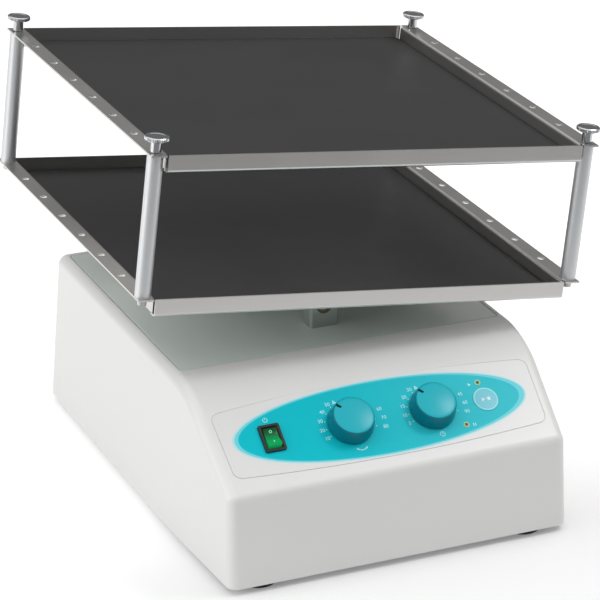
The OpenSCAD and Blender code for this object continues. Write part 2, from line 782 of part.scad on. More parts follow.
module motor_bracket() color([0.78, 0.79, 0.8]) {
    bottom = crank_z - gearbox_r - 3;
    difference() {
        union() {
            plate_y(gearbox_y - bracket_t, gearbox_y)
                translate([-24, bottom]) square([48, deck_under_z - bottom]);
            translate([-24, gearbox_y - bracket_t, deck_under_z - bracket_t])
                cube([48, 26, bracket_t]);
        }
        translate([0, 0, crank_z]) {
            rod_y(boss_out_r + 0.3, gearbox_y - bracket_t - eps, gearbox_y + eps);
            for (p = gear_screw_at) translate([p[0], 0, p[1]])
                rod_y(1.7, gearbox_y - bracket_t - eps, gearbox_y + eps);
        }
        at_bracket_screws() translate([0, 0, -bracket_t - eps])
            cylinder(r = screw_r + 0.2, h = bracket_t + 2 * eps);
    }
}

module bracket_screws() color([0.7, 0.7, 0.72]) {
    at_bracket_screws() translate([0, 0, -bracket_t])
        pan_screw(screw_r, bracket_t + deck_t - 0.2, 3, 1.8);
    for (p = gear_screw_at)
        translate([p[0], gearbox_y - bracket_t, crank_z + p[1]]) rotate([-90, 0, 0])
            pan_screw(1.5, bracket_t + 5, 2.6, 1.6);
}

module crank_disc() color([0.76, 0.77, 0.78]) translate([0, 0, crank_z]) difference() {
    rod_y(crank_r, disc_y, disc_y + crank_t);
    rod_y(output_r + snug, disc_y + 1, disc_y + crank_t + eps);
    translate([-crank_e, 0, 0]) rod_y(crank_pin_r + snug, disc_y - eps, disc_y + crank_t - 1);
}

module crank_pin() color([0.8, 0.8, 0.82]) translate([-crank_e, 0, crank_z]) {
    rod_y(crank_pin_r, lever_front_y - 1.5, disc_y + crank_t - 1);
    rod_y(roller_r - 0.4, lever_front_y - 3, lever_front_y - 1.5);
}

module pin_roller() color([0.72, 0.55, 0.3]) translate([-crank_e, 0, crank_z])
    difference() {
        rod_y(roller_r, lever_front_y - 1.2, disc_y - seat);
        rod_y(crank_pin_r + run_fit, lever_front_y - 2, disc_y);
    }

// ---------- pedestals ----------

module at_pedestal_screws() {
    for (x = [-ped_screw_dx, ped_screw_dx], y = [front_ped_y, rear_ped_y])
        translate([x, y + ped_screw_dy, deck_under_z]) children();
}

module pedestal(y0) color([0.72, 0.73, 0.74]) difference() {
    intersection() {
        plate_y(y0, y0 + pedestal_d) {
            translate([0, pivot_z]) circle(pedestal_w / 2);
            translate([-pedestal_w / 2, deck_z]) square([pedestal_w, pivot_z - deck_z]);
        }
        // Chamfers along the upright edges
        translate([0, y0 + pedestal_d / 2, deck_z - 1]) linear_extrude(60) {
            square([pedestal_w - 3, pedestal_d + 1], center = true);
            square([pedestal_w + 1, pedestal_d - 3], center = true);
            polygon([for (a = [[1, -1], [1, 1], [-1, 1], [-1, -1]], k = [0, 1])
                let (first = (a[0] * a[1] > 0) != (k == 1))
                [a[0] * (pedestal_w / 2 - (first ? 0 : 1.5)),
                 a[1] * (pedestal_d / 2 - (first ? 1.5 : 0))]]);
        }
    }
    translate([0, 0, pivot_z]) rod_y(bush_r + snug, y0 - eps, y0 + pedestal_d + eps);
    at_pedestal_screws() translate([0, 0, -eps])
        cylinder(r = ped_screw_r + snug, h = deck_t + 9);
}

module front_pedestal() pedestal(front_ped_y);
module rear_pedestal() pedestal(rear_ped_y);

module pedestal_screws() color([0.7, 0.7, 0.72])
    at_pedestal_screws() pan_screw(ped_screw_r, deck_t + 8, 3.6, 2.2);

// A flanged plain bush: side is 1 where the flange faces the rear
module bush(y0, side) color([0.74, 0.56, 0.32])
    translate([0, y0 + pedestal_d / 2, pivot_z]) difference() {
        union() {
            rod_y(bush_r, -pedestal_d / 2, pedestal_d / 2);
            translate([0, side > 0 ? pedestal_d / 2 : -pedestal_d / 2 - bush_flange_t, 0])
                rod_y(bush_r + 2.5, 0, bush_flange_t);
        }
        rod_y(shaft_r + run_fit, -pedestal_d, pedestal_d);
    }

module front_bush() bush(front_ped_y, 1);
module rear_bush() bush(rear_ped_y, -1);

// ---------- rocking frame ----------

module rocker_shaft() color([0.8, 0.8, 0.82]) on_platform()
    rod_y(shaft_r, 1 - pedestal_reach, pedestal_reach - 1);

module shaft_clips() color([0.5, 0.5, 0.52]) on_platform()
    for (y = [-clip_y, clip_y - clip_t]) difference() {
        rod_y(shaft_r + 2.4, y, y + clip_t);
        rod_y(shaft_r + snug, y - eps, y + clip_t + eps);
    }

module drive_lever() color([0.74, 0.75, 0.76]) on_platform() difference() {
    plate_y(-lever_t / 2, lever_t / 2) difference() {
        union() {
            circle(hub_r);
            translate([-lever_w / 2, -lever_l]) square([lever_w, lever_l]);
            translate([0, -lever_l])
                slot_2d(2 * (slot_hw + fork_rim), slot_len + 2 * fork_rim);
        }
        circle(shaft_r + snug);
        translate([0, -lever_l]) slot_2d(2 * slot_hw, slot_len);
    }
    rotate([0, 90, 0]) cylinder(r = set_screw_r + snug, h = hub_r + 1);
}

module set_screws() color([0.25, 0.25, 0.26]) on_platform() {
    rotate([0, 90, 0]) translate([0, 0, shaft_r]) cylinder(r = set_screw_r, h = hub_r - shaft_r);
    for (side = [-1, 1])
        translate([shaft_r, side * (bracket_y - carrier_t - collar_l / 2), 0])
            rotate([0, 90, 0]) cylinder(r = set_screw_r, h = collar_r - shaft_r);
}

// One bent bracket, drawn for the rear end
module carrier_bracket() difference() {
    web_hw = lug_r - 2.5;
    union() {
        plate_y(bracket_y - carrier_t, bracket_y) {
            circle(lug_r);
            polygon([[-lug_hw, bracket_top], [lug_hw, bracket_top],
                     [lug_hw, bracket_top - carrier_t], [web_hw, 0], [-web_hw, 0],
                     [-lug_hw, bracket_top - carrier_t]]);
        }
        translate([-lug_hw, bracket_y - foot_l, bracket_top - carrier_t])
            cube([2 * lug_hw, foot_l, carrier_t]);
        rod_y(collar_r, bracket_y - carrier_t - collar_l, bracket_y - carrier_t + 0.1);
    }
    rod_y(shaft_r + snug, bracket_y - 20, bracket_y + eps);
    translate([0, bracket_y - carrier_t - collar_l / 2, 0])
        rotate([0, 90, 0]) cylinder(r = set_screw_r + snug, h = collar_r + 1);
    at_carrier_screws() translate([0, 0, -eps])
        cylinder(r = screw_r + 0.2, h = carrier_t + 2 * eps);
}

module at_carrier_screws() {
    for (x = [-24, 24], y = [-1, 1])
        translate([x, y * (bracket_y - 12), bracket_top - carrier_t]) children();
}

module carrier_front_bracket() color([0.7, 0.71, 0.72]) on_platform()
    mirror([0, 1, 0]) carrier_bracket();
module carrier_rear_bracket() color([0.7, 0.71, 0.72]) on_platform() carrier_bracket();

module carrier_plate() color([0.72, 0.73, 0.74]) on_platform() difference() {
    translate([0, 0, bracket_top]) linear_extrude(carrier_t)
        round_rect(carrier_w, carrier_l, 8);
    at_carrier_screws() translate([0, 0, carrier_t - eps])
        cylinder(r = screw_r + 0.2, h = carrier_t + 2 * eps);
}

module carrier_screws() color([0.7, 0.7, 0.72]) on_platform()
    at_carrier_screws() pan_screw(screw_r, 2 * carrier_t + sheet_t, 3, 1.8);

// ---------- trays ----------

// A quarter ring of the sheet's bend, from angle a to a + 90
module bend_2d(a) {
    rotate(a) intersection() {
        difference() {
            circle(bend_r + sheet_t);
            circle(bend_r);
        }
        square(bend_r + sheet_t + 1);
    }
}

// Section across a side: the bend, the wall and the flange
module side_section() {
    b = bend_r + sheet_t;
    translate([side_x - b, 0]) mirror([1, 0]) square([floor_lap, sheet_t]);
    translate([side_x - b, b]) bend_2d(-90);
    translate([side_x - sheet_t, b]) square([sheet_t, lip_h - 2 * b]);
    translate([side_x + bend_r, lip_h - b]) bend_2d(90);
    translate([side_x + bend_r, lip_h - sheet_t])
        square([flange_hw - side_x - bend_r, sheet_t]);
}

// Section through the front or rear lip, drawn for the positive side
module lip_section() {
    b = bend_r + sheet_t;
    translate([tray_d / 2 - b, 0]) mirror([1, 0]) square([floor_lap, sheet_t]);
    translate([tray_d / 2 - b, b]) bend_2d(-90);
    translate([tray_d / 2 - sheet_t, b]) square([sheet_t, lip_h - b]);
}

module tray() {
    b = bend_r + sheet_t;
    side_l = tray_d - 2 * (sheet_t + corner_gap);
    difference() {
        union() {
            translate([0, 0, sheet_t / 2])
                cube([tray_w - 2 * b, tray_d - 2 * b, sheet_t], center = true);
            for (m = [0, 1]) mirror([m, 0, 0])
                plate_y(-side_l / 2, side_l / 2) side_section();
            for (m = [0, 1]) mirror([0, m, 0])
                rotate([90, 0, 90]) translate([0, 0, -side_x])
                    linear_extrude(tray_w) lip_section();
            // Corners of the flanges, which carry the posts
            for (x = [-1, 1], y = [-1, 1])
                translate([x * (flange_hw + side_x + bend_r) / 2,
                           y * (post_y + tray_d / 2) / 2, lip_h - sheet_t / 2])
                    cube([flange_hw - side_x - bend_r, tray_d / 2 - post_y, sheet_t],
                         center = true);
        }
        for (x = [-post_x, post_x]) {
            for (i = [1 : tie_count]) translate([x, i * tie_pitch - post_y, lip_h - 3])
                cylinder(r = tie_hole_r, h = 4);
            for (y = [-post_y, post_y]) translate([x, y, lip_h - 3])
                cylinder(r = thread_r + 0.2, h = 4);
        }
    }
}

module lower_tray() color([0.72, 0.73, 0.72]) on_platform() difference() {
    translate([0, 0, lower_z]) tray();
    at_carrier_screws() cylinder(r = screw_r + 0.2, h = 2 * carrier_t + sheet_t + eps);
}
module upper_tray() color([0.72, 0.73, 0.72]) on_platform()
    translate([0, 0, upper_z]) tray();

module mat(z) color([0.12, 0.12, 0.13]) on_platform()
    translate([0, 0, z + sheet_t]) linear_extrude(mat_t)
        round_rect(tray_w - 2 * (sheet_t + bend_r + mat_gap),
                   tray_d - 2 * (sheet_t + bend_r + mat_gap), 3);

module lower_mat() mat(lower_z);
module upper_mat() mat(upper_z);

// ---------- posts ----------

module post(x, y) color([0.8, 0.81, 0.82]) on_platform()
    translate([x * post_x, y * post_y, lower_z + lip_h]) difference() {
        cylinder(r = post_r, h = post_len);
        translate([0, 0, -eps]) cylinder(r = thread_r + snug, h = 14);
        translate([0, 0, post_len - 14 + eps]) cylinder(r = thread_r + run_fit, h = 14);
    }

module post_front_left() post(-1, -1);
module post_front_right() post(1, -1);
module post_rear_left() post(-1, 1);
module post_rear_right() post(1, 1);

module post_screws() color([0.3, 0.3, 0.31]) on_platform() at_posts()
    translate([0, 0, lower_z + lip_h - sheet_t]) pan_screw(thread_r, sheet_t + 12, 3.2, 4.5);

module thumb_screw(x, y) color([0.82, 0.83, 0.84]) on_platform()
    translate([x * post_x, y * post_y, upper_z + lip_h]) {
        top = thumb_neck_h + thumb_head_h;
        translate([0, 0, -sheet_t - 10]) cylinder(r = thread_r, h = sheet_t + 10 + seat);
        translate([0, 0, seat]) cylinder(r = thumb_neck_r, h = thumb_neck_h);
        translate([0, 0, thumb_neck_h]) cylinder(r1 = thumb_r - 1, r2 = thumb_r, h = 1);
        translate([0, 0, thumb_neck_h + 1]) cylinder(r = thumb_r, h = thumb_head_h - 2);
        translate([0, 0, top - 1]) cylinder(r1 = thumb_r, r2 = thumb_r - 1, h = 1);
    }

module thumb_front_left() thumb_screw(-1, -1);
module thumb_front_right() thumb_screw(1, -1);
module thumb_rear_left() thumb_screw(-1, 1);
module thumb_rear_right() thumb_screw(1, 1);

housing_shell();
base_plate();
base_screws();
rubber_feet();
foot_screws();
deck_plate();
control_overlay();
switch_body();
power_rocker();
speed_knob();
time_knob();
speed_pot_body();
time_pot_body();
speed_pot_shaft();
time_pot_shaft();
pot_nuts();
run_lamp();
hold_lamp();
start_stop_button();
button_switch();
control_board();
board_screws();
power_supply();
power_inlet();
inlet_pins();
inlet_screws();
motor();
gearbox();
output_shaft();
motor_bracket();
bracket_screws();
crank_disc();
crank_pin();
pin_roller();
front_pedestal();
rear_pedestal();
pedestal_screws();
front_bush();
rear_bush();
rocker_shaft();
shaft_clips();
drive_lever();
set_screws();
carrier_front_bracket();
carrier_rear_bracket();
carrier_plate();
carrier_screws();
lower_tray();
lower_mat();
upper_tray();
upper_mat();
post_front_left();
post_front_right();
post_rear_left();
post_rear_right();
post_screws();
thumb_front_left();
thumb_front_right();
thumb_rear_left();
thumb_rear_right();
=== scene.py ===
# %% [markdown]
# A two-tier rocking platform shaker for a laboratory bench. The frame brings in every solid
# at its real size and place. This lesson gives those solids their finishes, and adds the
# forms that a plain solid leaves out, such as the soft edges of the moulded housing and the
# print on its control panel.

# %% The frame
import bpy
import bmesh
from math import atan, atan2, cos, pi, radians, sin, tan
from mathutils import Matrix, Vector


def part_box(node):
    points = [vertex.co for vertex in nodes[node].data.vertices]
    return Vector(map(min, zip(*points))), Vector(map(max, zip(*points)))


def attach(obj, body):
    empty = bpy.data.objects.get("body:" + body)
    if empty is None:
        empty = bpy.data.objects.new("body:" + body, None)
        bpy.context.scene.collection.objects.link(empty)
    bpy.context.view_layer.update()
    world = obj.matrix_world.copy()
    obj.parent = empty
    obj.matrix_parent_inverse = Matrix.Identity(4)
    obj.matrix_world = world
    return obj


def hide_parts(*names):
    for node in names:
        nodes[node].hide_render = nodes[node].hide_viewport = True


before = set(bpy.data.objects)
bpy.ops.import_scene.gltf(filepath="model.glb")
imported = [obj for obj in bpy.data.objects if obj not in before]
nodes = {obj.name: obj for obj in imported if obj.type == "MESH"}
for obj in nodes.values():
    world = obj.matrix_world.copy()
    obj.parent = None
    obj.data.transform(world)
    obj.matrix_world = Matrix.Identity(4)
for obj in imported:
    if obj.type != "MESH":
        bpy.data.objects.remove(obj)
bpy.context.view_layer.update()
MM = 0.001

# %% [markdown]
# The camera stands to the left of the control panel and looks down on it through a long
# lens, which keeps the parallel edges of the trays nearly parallel in the picture. Its
# direction is given by three angles: turn, dip and a slight roll.

# %% The camera
EYE = Vector((-0.7948, -1.9264, 0.9805))
TURN = radians(22.466)
DIP = radians(22.302)
ROLL = radians(-0.618)
LENS_MM = 189.08
SENSOR_MM = 36.0


def put(name, data):
    """Makes an object from the data and links it to the scene."""
    made = bpy.data.objects.new(name, data)
    bpy.context.scene.collection.objects.link(made)
    return made


ahead = Vector((sin(TURN) * cos(DIP), cos(TURN) * cos(DIP), -sin(DIP)))
level = Vector((cos(TURN), -sin(TURN), 0.0))
rise = level.cross(ahead)
right = level * cos(ROLL) + rise * sin(ROLL)
up = rise * cos(ROLL) - level * sin(ROLL)
camera_data = bpy.data.cameras.new("camera")
camera_data.lens = LENS_MM
camera_data.sensor_width = SENSOR_MM
camera = put("camera", camera_data)
axes = Matrix((right, up, -ahead)).transposed().to_4x4()
camera.matrix_world = Matrix.Translation(EYE) @ axes
bpy.context.scene.camera = camera
print("camera at", tuple(round(v, 3) for v in EYE))

# %% [markdown]
# A material is a small graph of nodes. Written out node by node it is hard to read, so two
# small classes let the graph be written as arithmetic. The first one, a Value, wraps the
# output socket of a node: adding to it or multiplying it adds a Math node.


# %% A value
class Value:
    """The output socket of a shader node, with Python's arithmetic."""

    def __init__(self, paint, socket):
        self.paint = paint
        self.socket = socket

    def math(self, operation, *terms):
        return self.paint.node("ShaderNodeMath", {"operation": operation}, dict(enumerate(terms)))

    def __add__(self, other):
        return self.math("ADD", self, other)

    def __sub__(self, other):
        return self.math("SUBTRACT", self, other)

    def __mul__(self, other):
        return self.math("MULTIPLY", self, other)

    def larger(self, other):
        return self.math("MAXIMUM", self, other)

    def step(self, low, high):
        """0 below low, 1 above high, and a soft rise between them."""
        settings = {"interpolation_type": "SMOOTHSTEP"}
        return self.paint.node("ShaderNodeMapRange", settings, {0: self, 1: low, 2: high})


print("values ready")

# %% [markdown]
# The second class, a Paint, is one material under construction, with the few patterns that
# the finishes below share. A fixed setting goes straight into its socket, because only what
# varies over the surface needs a node.


# %% A paint
class Paint:
    def __init__(self, name, color, roughness, **fixed):
        self.material = bpy.data.materials.new(name)
        self.material.use_nodes = True
        self.tree = self.material.node_tree
        self.shader = self.tree.nodes["Principled BSDF"]
        self.material.diffuse_color = (*color, 1.0)
        self.set("Base Color", (*color, 1.0))
        self.set("Roughness", roughness)
        for socket, value in fixed.items():
            self.set(socket.replace("_", " "), value)

    def node(self, kind, settings=None, inputs=None, output=0):
        made = self.tree.nodes.new(kind)
        for name, value in (settings or {}).items():
            setattr(made, name, value)
        for key, value in (inputs or {}).items():
            self.plug(value, made.inputs[key])
        return Value(self, made.outputs[output])

    def plug(self, value, socket):
        if isinstance(value, Value):
            self.tree.links.new(value.socket, socket)
        else:
            socket.default_value = value

    def set(self, socket, value):
        self.plug(value, self.shader.inputs[socket])

    def place(self, turn=(0.0, 0.0, 0.0), stretch=(1.0, 1.0, 1.0)):
        """The point on the piece, turned into its own frame and stretched."""
        here = self.node("ShaderNodeTexCoord", output="Object")
        return self.node("ShaderNodeMapping", {"vector_type": "POINT"},
                         {"Vector": here, "Rotation": turn, "Scale": stretch})

    def noise(self, size, at=None, detail=2.0, rough=0.5):
        """A noise whose blotches are about size metres across."""
        at = at or self.place()
        return self.node("ShaderNodeTexNoise", {"noise_dimensions": "3D"},
                         {"Vector": at, "Scale": 1.0 / size, "Detail": detail, "Roughness": rough})

    def cells(self, size, at):
        """The distance to the middle of the nearest cell, in cells of size metres."""
        return self.node("ShaderNodeTexVoronoi", {"feature": "F1"},
                         {"Vector": at, "Scale": 1.0 / size}, output="Distance")

    def mix(self, factor, low, high):
        made = self.node("ShaderNodeMix", {"data_type": "RGBA"}, {0: factor}, output=2)
        for index, color in ((6, low), (7, high)):
            self.plug((*color, 1.0), made.socket.node.inputs[index])
        return made

    def bump(self, height, depth, strength):
        return self.node("ShaderNodeBump", None,
                         {"Height": height, "Distance": depth, "Strength": strength})

    def tinge(self, factor, color, spread):
        """Makes the base colour a little darker and paler from place to place."""
        paler = tuple(min(1.0, c * (1 + spread)) for c in color)
        darker = tuple(c * (1 - spread) for c in color)
        self.set("Base Color", self.mix(factor, darker, paler))


print("paints ready")

# %% [markdown]
# The finishes come one by one. Moulded plastic is never quite even: the tool leaves a very
# fine grain, and the sheen wavers slightly over a hand's breadth. Both are small noises, one
# in the bump and one in the roughness.


# %% Moulded plastics
def moulded(name, color, roughness, grain=0.0004, depth=0.00001, waver=0.06, tint=0.03, **fixed):
    paint = Paint(name, color, roughness, **fixed)
    cloud = paint.noise(0.05)
    paint.tinge(cloud, color, tint)
    paint.set("Roughness", cloud * waver + (roughness - waver / 2))
    paint.set("Normal", paint.bump(paint.noise(grain), depth, 0.5))
    return paint.material


housing_white = moulded("housing_white", (0.80, 0.80, 0.79), 0.34, tint=0.008)
knob_teal = moulded("knob_teal", (0.0, 0.17, 0.23), 0.3, waver=0.04, Specular_IOR_Level=0.3)
# Painted sheen: the knob caps are a paler teal than the knob's side, which stands for the light on
# their top faces.
cap_sheen_teal = moulded("cap_sheen_teal", (0.0, 0.46, 0.55), 0.27, waver=0.04, Specular_IOR_Level=0.28)
cap_dark = moulded("cap_dark", (0.0, 0.02, 0.028), 0.5, Specular_IOR_Level=0.1)
switch_black = moulded("switch_black", (0.006, 0.01, 0.01), 0.3, Specular_IOR_Level=0.35)
socket_black = moulded("socket_black", (0.02, 0.02, 0.022), 0.45)
foot_rubber = moulded("foot_rubber", (0.018, 0.018, 0.018), 0.75, grain=0.0008, depth=0.00004)
pot_plastic = moulded("pot_plastic", (0.03, 0.09, 0.08), 0.5)
print("plastics:", housing_white.name, knob_teal.name, switch_black.name)

# %% [markdown]
# Sheet metal comes brushed: the rolls and belts leave fine scratches that all run one way.
# A noise that is squeezed across the scratches and drawn out along them makes them. It
# moves the roughness most, the colour a little, and the bump hardly at all. The platform is
# tilted at rest, so its scratches are laid out in its own tilted frame.

# %% Metals
REST_TILT = radians(7.0)
LEVEL = (0.0, 0.0, 0.0)
TILTED = (0.0, -REST_TILT, 0.0)


def brushed(name, color, roughness, turn=LEVEL, along="X", length=0.04, width=0.00025,
            waver=0.12, depth=0.000004, tint=0.06, cloud=0.5, **fixed):
    paint = Paint(name, color, roughness, **{"Metallic": 1.0, **fixed})
    stretch = [1.0 / width] * 3
    stretch["XYZ".index(along)] = 1.0 / length
    lines = paint.noise(1.0, paint.place(turn, stretch), detail=4.0, rough=0.6)
    bloom = paint.noise(0.06, paint.place(turn))
    mixed = lines * (1 - cloud) + bloom * cloud
    paint.tinge(mixed, color, tint)
    paint.set("Roughness", mixed * (2 * waver) + (roughness - waver))
    paint.set("Normal", paint.bump(lines, depth, 0.4))
    return paint.material


tray_steel = brushed("tray_steel", (0.60, 0.59, 0.575), 0.31, TILTED, length=0.05, width=0.0003,
                     waver=0.05, cloud=0.6, depth=0.0000015)
post_alloy = brushed("post_alloy", (0.66, 0.67, 0.68), 0.38, TILTED, along="Z", length=0.003,
                     width=0.003, tint=0.02, Metallic=0.65)
bracket_steel = brushed("bracket_steel", (0.4, 0.43, 0.42), 0.35, along="Y")
pedestal_alloy = brushed("pedestal_alloy", (0.5, 0.54, 0.52), 0.4, width=0.0004, length=0.02,
                         tint=0.16)
shaft_steel = brushed("shaft_steel", (0.62, 0.62, 0.63), 0.22, along="Y", length=0.002,
                      width=0.02)
screw_steel = brushed("screw_steel", (0.5, 0.5, 0.51), 0.32, length=0.002, width=0.0005)
thumb_chrome = brushed("thumb_chrome", (0.6, 0.61, 0.625), 0.15, TILTED, length=0.002,
                       width=0.0004, waver=0.05, tint=0.03)
bush_bronze = brushed("bush_bronze", (0.2, 0.17, 0.12), 0.45, width=0.0006, length=0.0009)
gear_alloy = brushed("gear_alloy", (0.5, 0.51, 0.52), 0.48, width=0.001, length=0.001,
                     depth=0.00002)
supply_alloy = brushed("supply_alloy", (0.62, 0.62, 0.6), 0.36, along="Y")
pin_plating = brushed("pin_plating", (0.7, 0.64, 0.48), 0.28, along="Y", length=0.003)
print("metals:", tray_steel.name, post_alloy.name, thumb_chrome.name)

# %% [markdown]
# Painted metal has a coat: a coloured base with a thin clear layer whose surface is slightly
# uneven, like the skin of an orange. The deck's coat is a glossy grey green with a finer
# skin, and the base plate's a pale powder coat with a coarser one.


# %% Painted metals
def coated(name, color, roughness, skin=0.0012, depth=0.00002, speck=0.04, **fixed):
    coat = {"Coat_Weight": 0.15, "Coat_Roughness": 0.3, **fixed}
    paint = Paint(name, color, roughness, **coat)
    grains = paint.noise(0.0005, detail=1.0)
    cloud = paint.noise(0.08)
    paint.tinge(grains * 0.5 + cloud * 0.5, color, speck)
    paint.set("Roughness", cloud * 0.1 + (roughness - 0.05))
    paint.set("Normal", paint.bump(paint.noise(skin), depth, 0.5))
    return paint.material


deck_paint = coated("deck_paint", (0.64, 0.71, 0.67), 0.34, depth=0.000006,
                    Coat_Weight=0.6, Coat_Roughness=0.12)
base_paint = coated("base_paint", (0.62, 0.63, 0.64), 0.5, skin=0.002, depth=0.00004)
motor_paint = coated("motor_paint", (0.16, 0.165, 0.17), 0.45)
print("painted:", deck_paint.name, base_paint.name, motor_paint.name)

# %% [markdown]
# Each mat is a sheet of smooth black rubber: a satin skin with very fine pits, and a faint
# bloom where it was handled. The pits are Voronoi cells, as a noise would look like cloth.


# %% The mats' rubber
def mat_finish(name):
    paint = Paint(name, (0.02, 0.02, 0.022), 0.42, Specular_IOR_Level=0.4)
    bloom = paint.noise(0.09, paint.place(TILTED), detail=4.0, rough=0.6)
    pits = paint.cells(0.0011, paint.place(TILTED))
    paint.set("Base Color", paint.mix(bloom, (0.012, 0.012, 0.013), (0.024, 0.024, 0.026)))
    paint.set("Roughness", bloom * 0.16 + 0.32)
    paint.set("Normal", paint.bump(pits, 0.00003, 0.35))
    return paint.material


mat_rubber = mat_finish("mat_rubber")
print("mats:", mat_rubber.name)

# %% [markdown]
# The control panel is a printed film: a white ground with a teal field. Its print is flat,
# so each colour of ink is a thin piece of its own, and its material adds the film's fine
# texture and soft gloss, and a painted sheen: each ink, the teal most, is painted paler towards the
# right.


# %% Inks and film
def ink(name, color, sheen_color=None, left=0.0, right=0.1):
    """One printed colour, painted paler from x = left to x = right, up to the second colour: a
    painted sheen.
    """
    paint = Paint(name, color, 0.3, Specular_IOR_Level=0.06)
    here = paint.place()
    across = paint.node("ShaderNodeSeparateXYZ", None, {"Vector": here})
    # A painted sheen: the ink grows paler towards the right, by 3 per cent unless a paler colour is
    # given.
    run = across.step(left, right)
    grain = paint.noise(0.0012, detail=1.0)
    sheen_color = sheen_color or tuple(min(1.0, c * 1.03) for c in color)
    paint.set("Base Color", paint.mix(run * 0.9 + grain * 0.1, color, sheen_color))
    paint.set("Roughness", grain * 0.06 + 0.27)
    paint.set("Normal", paint.bump(paint.noise(0.0005), 0.000006, 0.5))
    return paint.material


film_white = moulded("film_white", (0.78, 0.78, 0.775), 0.3, grain=0.0006, tint=0.01)
# The teal's paler right end is painted sheen.
ink_teal = ink("ink_teal", (0.0, 0.56, 0.65), (0.05, 0.60, 0.69), left=-0.06, right=0.11)
ink_cyan = ink("ink_cyan", (0.18, 0.72, 0.80))
ink_pale = ink("ink_pale", (0.46, 0.82, 0.88))
ink_white = ink("ink_white", (0.45, 0.87, 0.93))
ring_pale = ink("ring_pale", (0.5, 0.68, 0.42))
ring_cyan = ink("ring_cyan", (0.35, 0.85, 0.92))
sign_white = ink("sign_white", (0.8, 0.93, 0.95))
button_pale = moulded("button_pale", (0.17, 0.62, 0.73), 0.4, tint=0.06, grain=0.001, depth=0.00003)
board_green = moulded("board_green", (0.02, 0.14, 0.05), 0.35, tint=0.2)
print("inks:", ink_teal.name, ink_cyan.name, ink_pale.name, ink_white.name)

# %% [markdown]
# The power rocker is clear green plastic over a neon lamp: it glows at its lower end and is
# dark at the upper one. Clear plastic would need a lit inside, so a faint emission along the
# rocker stands for it, and its base colour is painted lighter at the lit end. The two small
# lamps are off; they show their tint, with a faint painted glow.

# %% Rocker and lamps
DARK_Y, BRIGHT_Y = -0.1435, -0.1535


def lit(name, color, glow, strength):
    """A tinted lens with a faint glow; its colour and glow waver a little with a noise."""
    paint = Paint(name, color, 0.2, Emission_Strength=strength, IOR=1.49)
    cloud = paint.noise(0.004)
    paint.set("Base Color", paint.mix(cloud, tuple(c * 0.8 for c in color), color))
    paint.set("Emission Color", paint.mix(cloud, tuple(c * 0.6 for c in glow), glow))
    paint.set("Roughness", cloud * 0.08 + 0.2)
    return paint.material


def rocker_finish(name):
    paint = Paint(name, (0.004, 0.17, 0.05), 0.16, Emission_Strength=0.5, IOR=1.49,
                  Specular_IOR_Level=0.12)
    here = paint.node("ShaderNodeSeparateXYZ", None, {"Vector": paint.place()}, output=1)
    cloud = paint.noise(0.005)
    glow = (here.step(DARK_Y, BRIGHT_Y) + (cloud - 0.5) * 0.25).larger(0.0)
    # The base colour too is painted lighter towards the lit lower end: painted lamplight, beside
    # the emission.
    paint.set("Base Color", paint.mix(glow, (0.002, 0.07, 0.02), (0.004, 0.22, 0.07)))
    paint.set("Emission Color", paint.mix(glow, (0.0, 0.02, 0.005), (0.002, 0.36, 0.09)))
    paint.set("Roughness", cloud * 0.06 + 0.13)
    paint.set("Normal", paint.bump(paint.noise(0.0007), 0.00001, 0.4))
    return paint.material


rocker_green = rocker_finish("rocker_green")
ink_lit = lit("ink_lit", (0.3, 0.8, 0.5), (0.08, 0.8, 0.35), 0.5)
# The two lamps are off: the faint emission of their lenses is a painted glow.
lens_green = lit("lens_green", (0.003, 0.13, 0.09), (0.0, 0.05, 0.03), 0.3)
lens_amber = lit("lens_amber", (0.16, 0.14, 0.06), (0.06, 0.05, 0.01), 0.3)
print("lamps:", rocker_green.name, lens_green.name, lens_amber.name)

# %% [markdown]
# Most of the solids have the right shape already, and only need their finish. A dictionary
# says which solids each finish goes to. Those that a finer piece replaces further down are
# in it too, so that none is left bare.

# %% The solids' finishes
CORNERS = ("front_left", "front_right", "rear_left", "rear_right")
FINISHES = {
    housing_white: ["housing_shell"],
    base_paint: ["base_plate"],
    foot_rubber: ["rubber_feet"],
    deck_paint: ["deck_plate"],
    film_white: ["control_overlay"],
    switch_black: ["switch_body", "button_switch"],
    rocker_green: ["power_rocker"],
    knob_teal: ["speed_knob", "time_knob"],
    pot_plastic: ["speed_pot_body", "time_pot_body"],
    post_alloy: ["speed_pot_shaft", "time_pot_shaft"] + ["post_" + c for c in CORNERS],
    lens_green: ["run_lamp"],
    lens_amber: ["hold_lamp"],
    ink_pale: ["start_stop_button"],
    board_green: ["control_board"],
    supply_alloy: ["power_supply"],
    socket_black: ["power_inlet"],
    pin_plating: ["inlet_pins"],
    motor_paint: ["motor"],
    gear_alloy: ["gearbox"],
    bracket_steel: ["motor_bracket", "crank_disc", "carrier_front_bracket",
                    "carrier_rear_bracket", "carrier_plate"],
    shaft_steel: ["output_shaft", "crank_pin", "rocker_shaft"],
    bush_bronze: ["pin_roller", "front_bush", "rear_bush"],
    pedestal_alloy: ["front_pedestal", "rear_pedestal", "drive_lever"],
    screw_steel: ["pot_nuts", "shaft_clips"] + [n for n in nodes if n.endswith("_screws")],
    tray_steel: ["lower_tray", "upper_tray"],
    mat_rubber: ["lower_mat", "upper_mat"],
    thumb_chrome: ["thumb_" + c for c in CORNERS],
}
for finish, names in FINISHES.items():
    for name in names:
        for place in nodes[name].material_slots:
            place.material = finish
print("finished solids:", sum(len(names) for names in FINISHES.values()), "of", len(nodes))

# %% [markdown]
# New pieces are made in millimetres, like the drawing of the real part, and scaled to metres
# at the end. Nearly all of them start from an outline, such as a rectangle with round
# corners or a circle. Points from a formula are exact, and give rings that match.


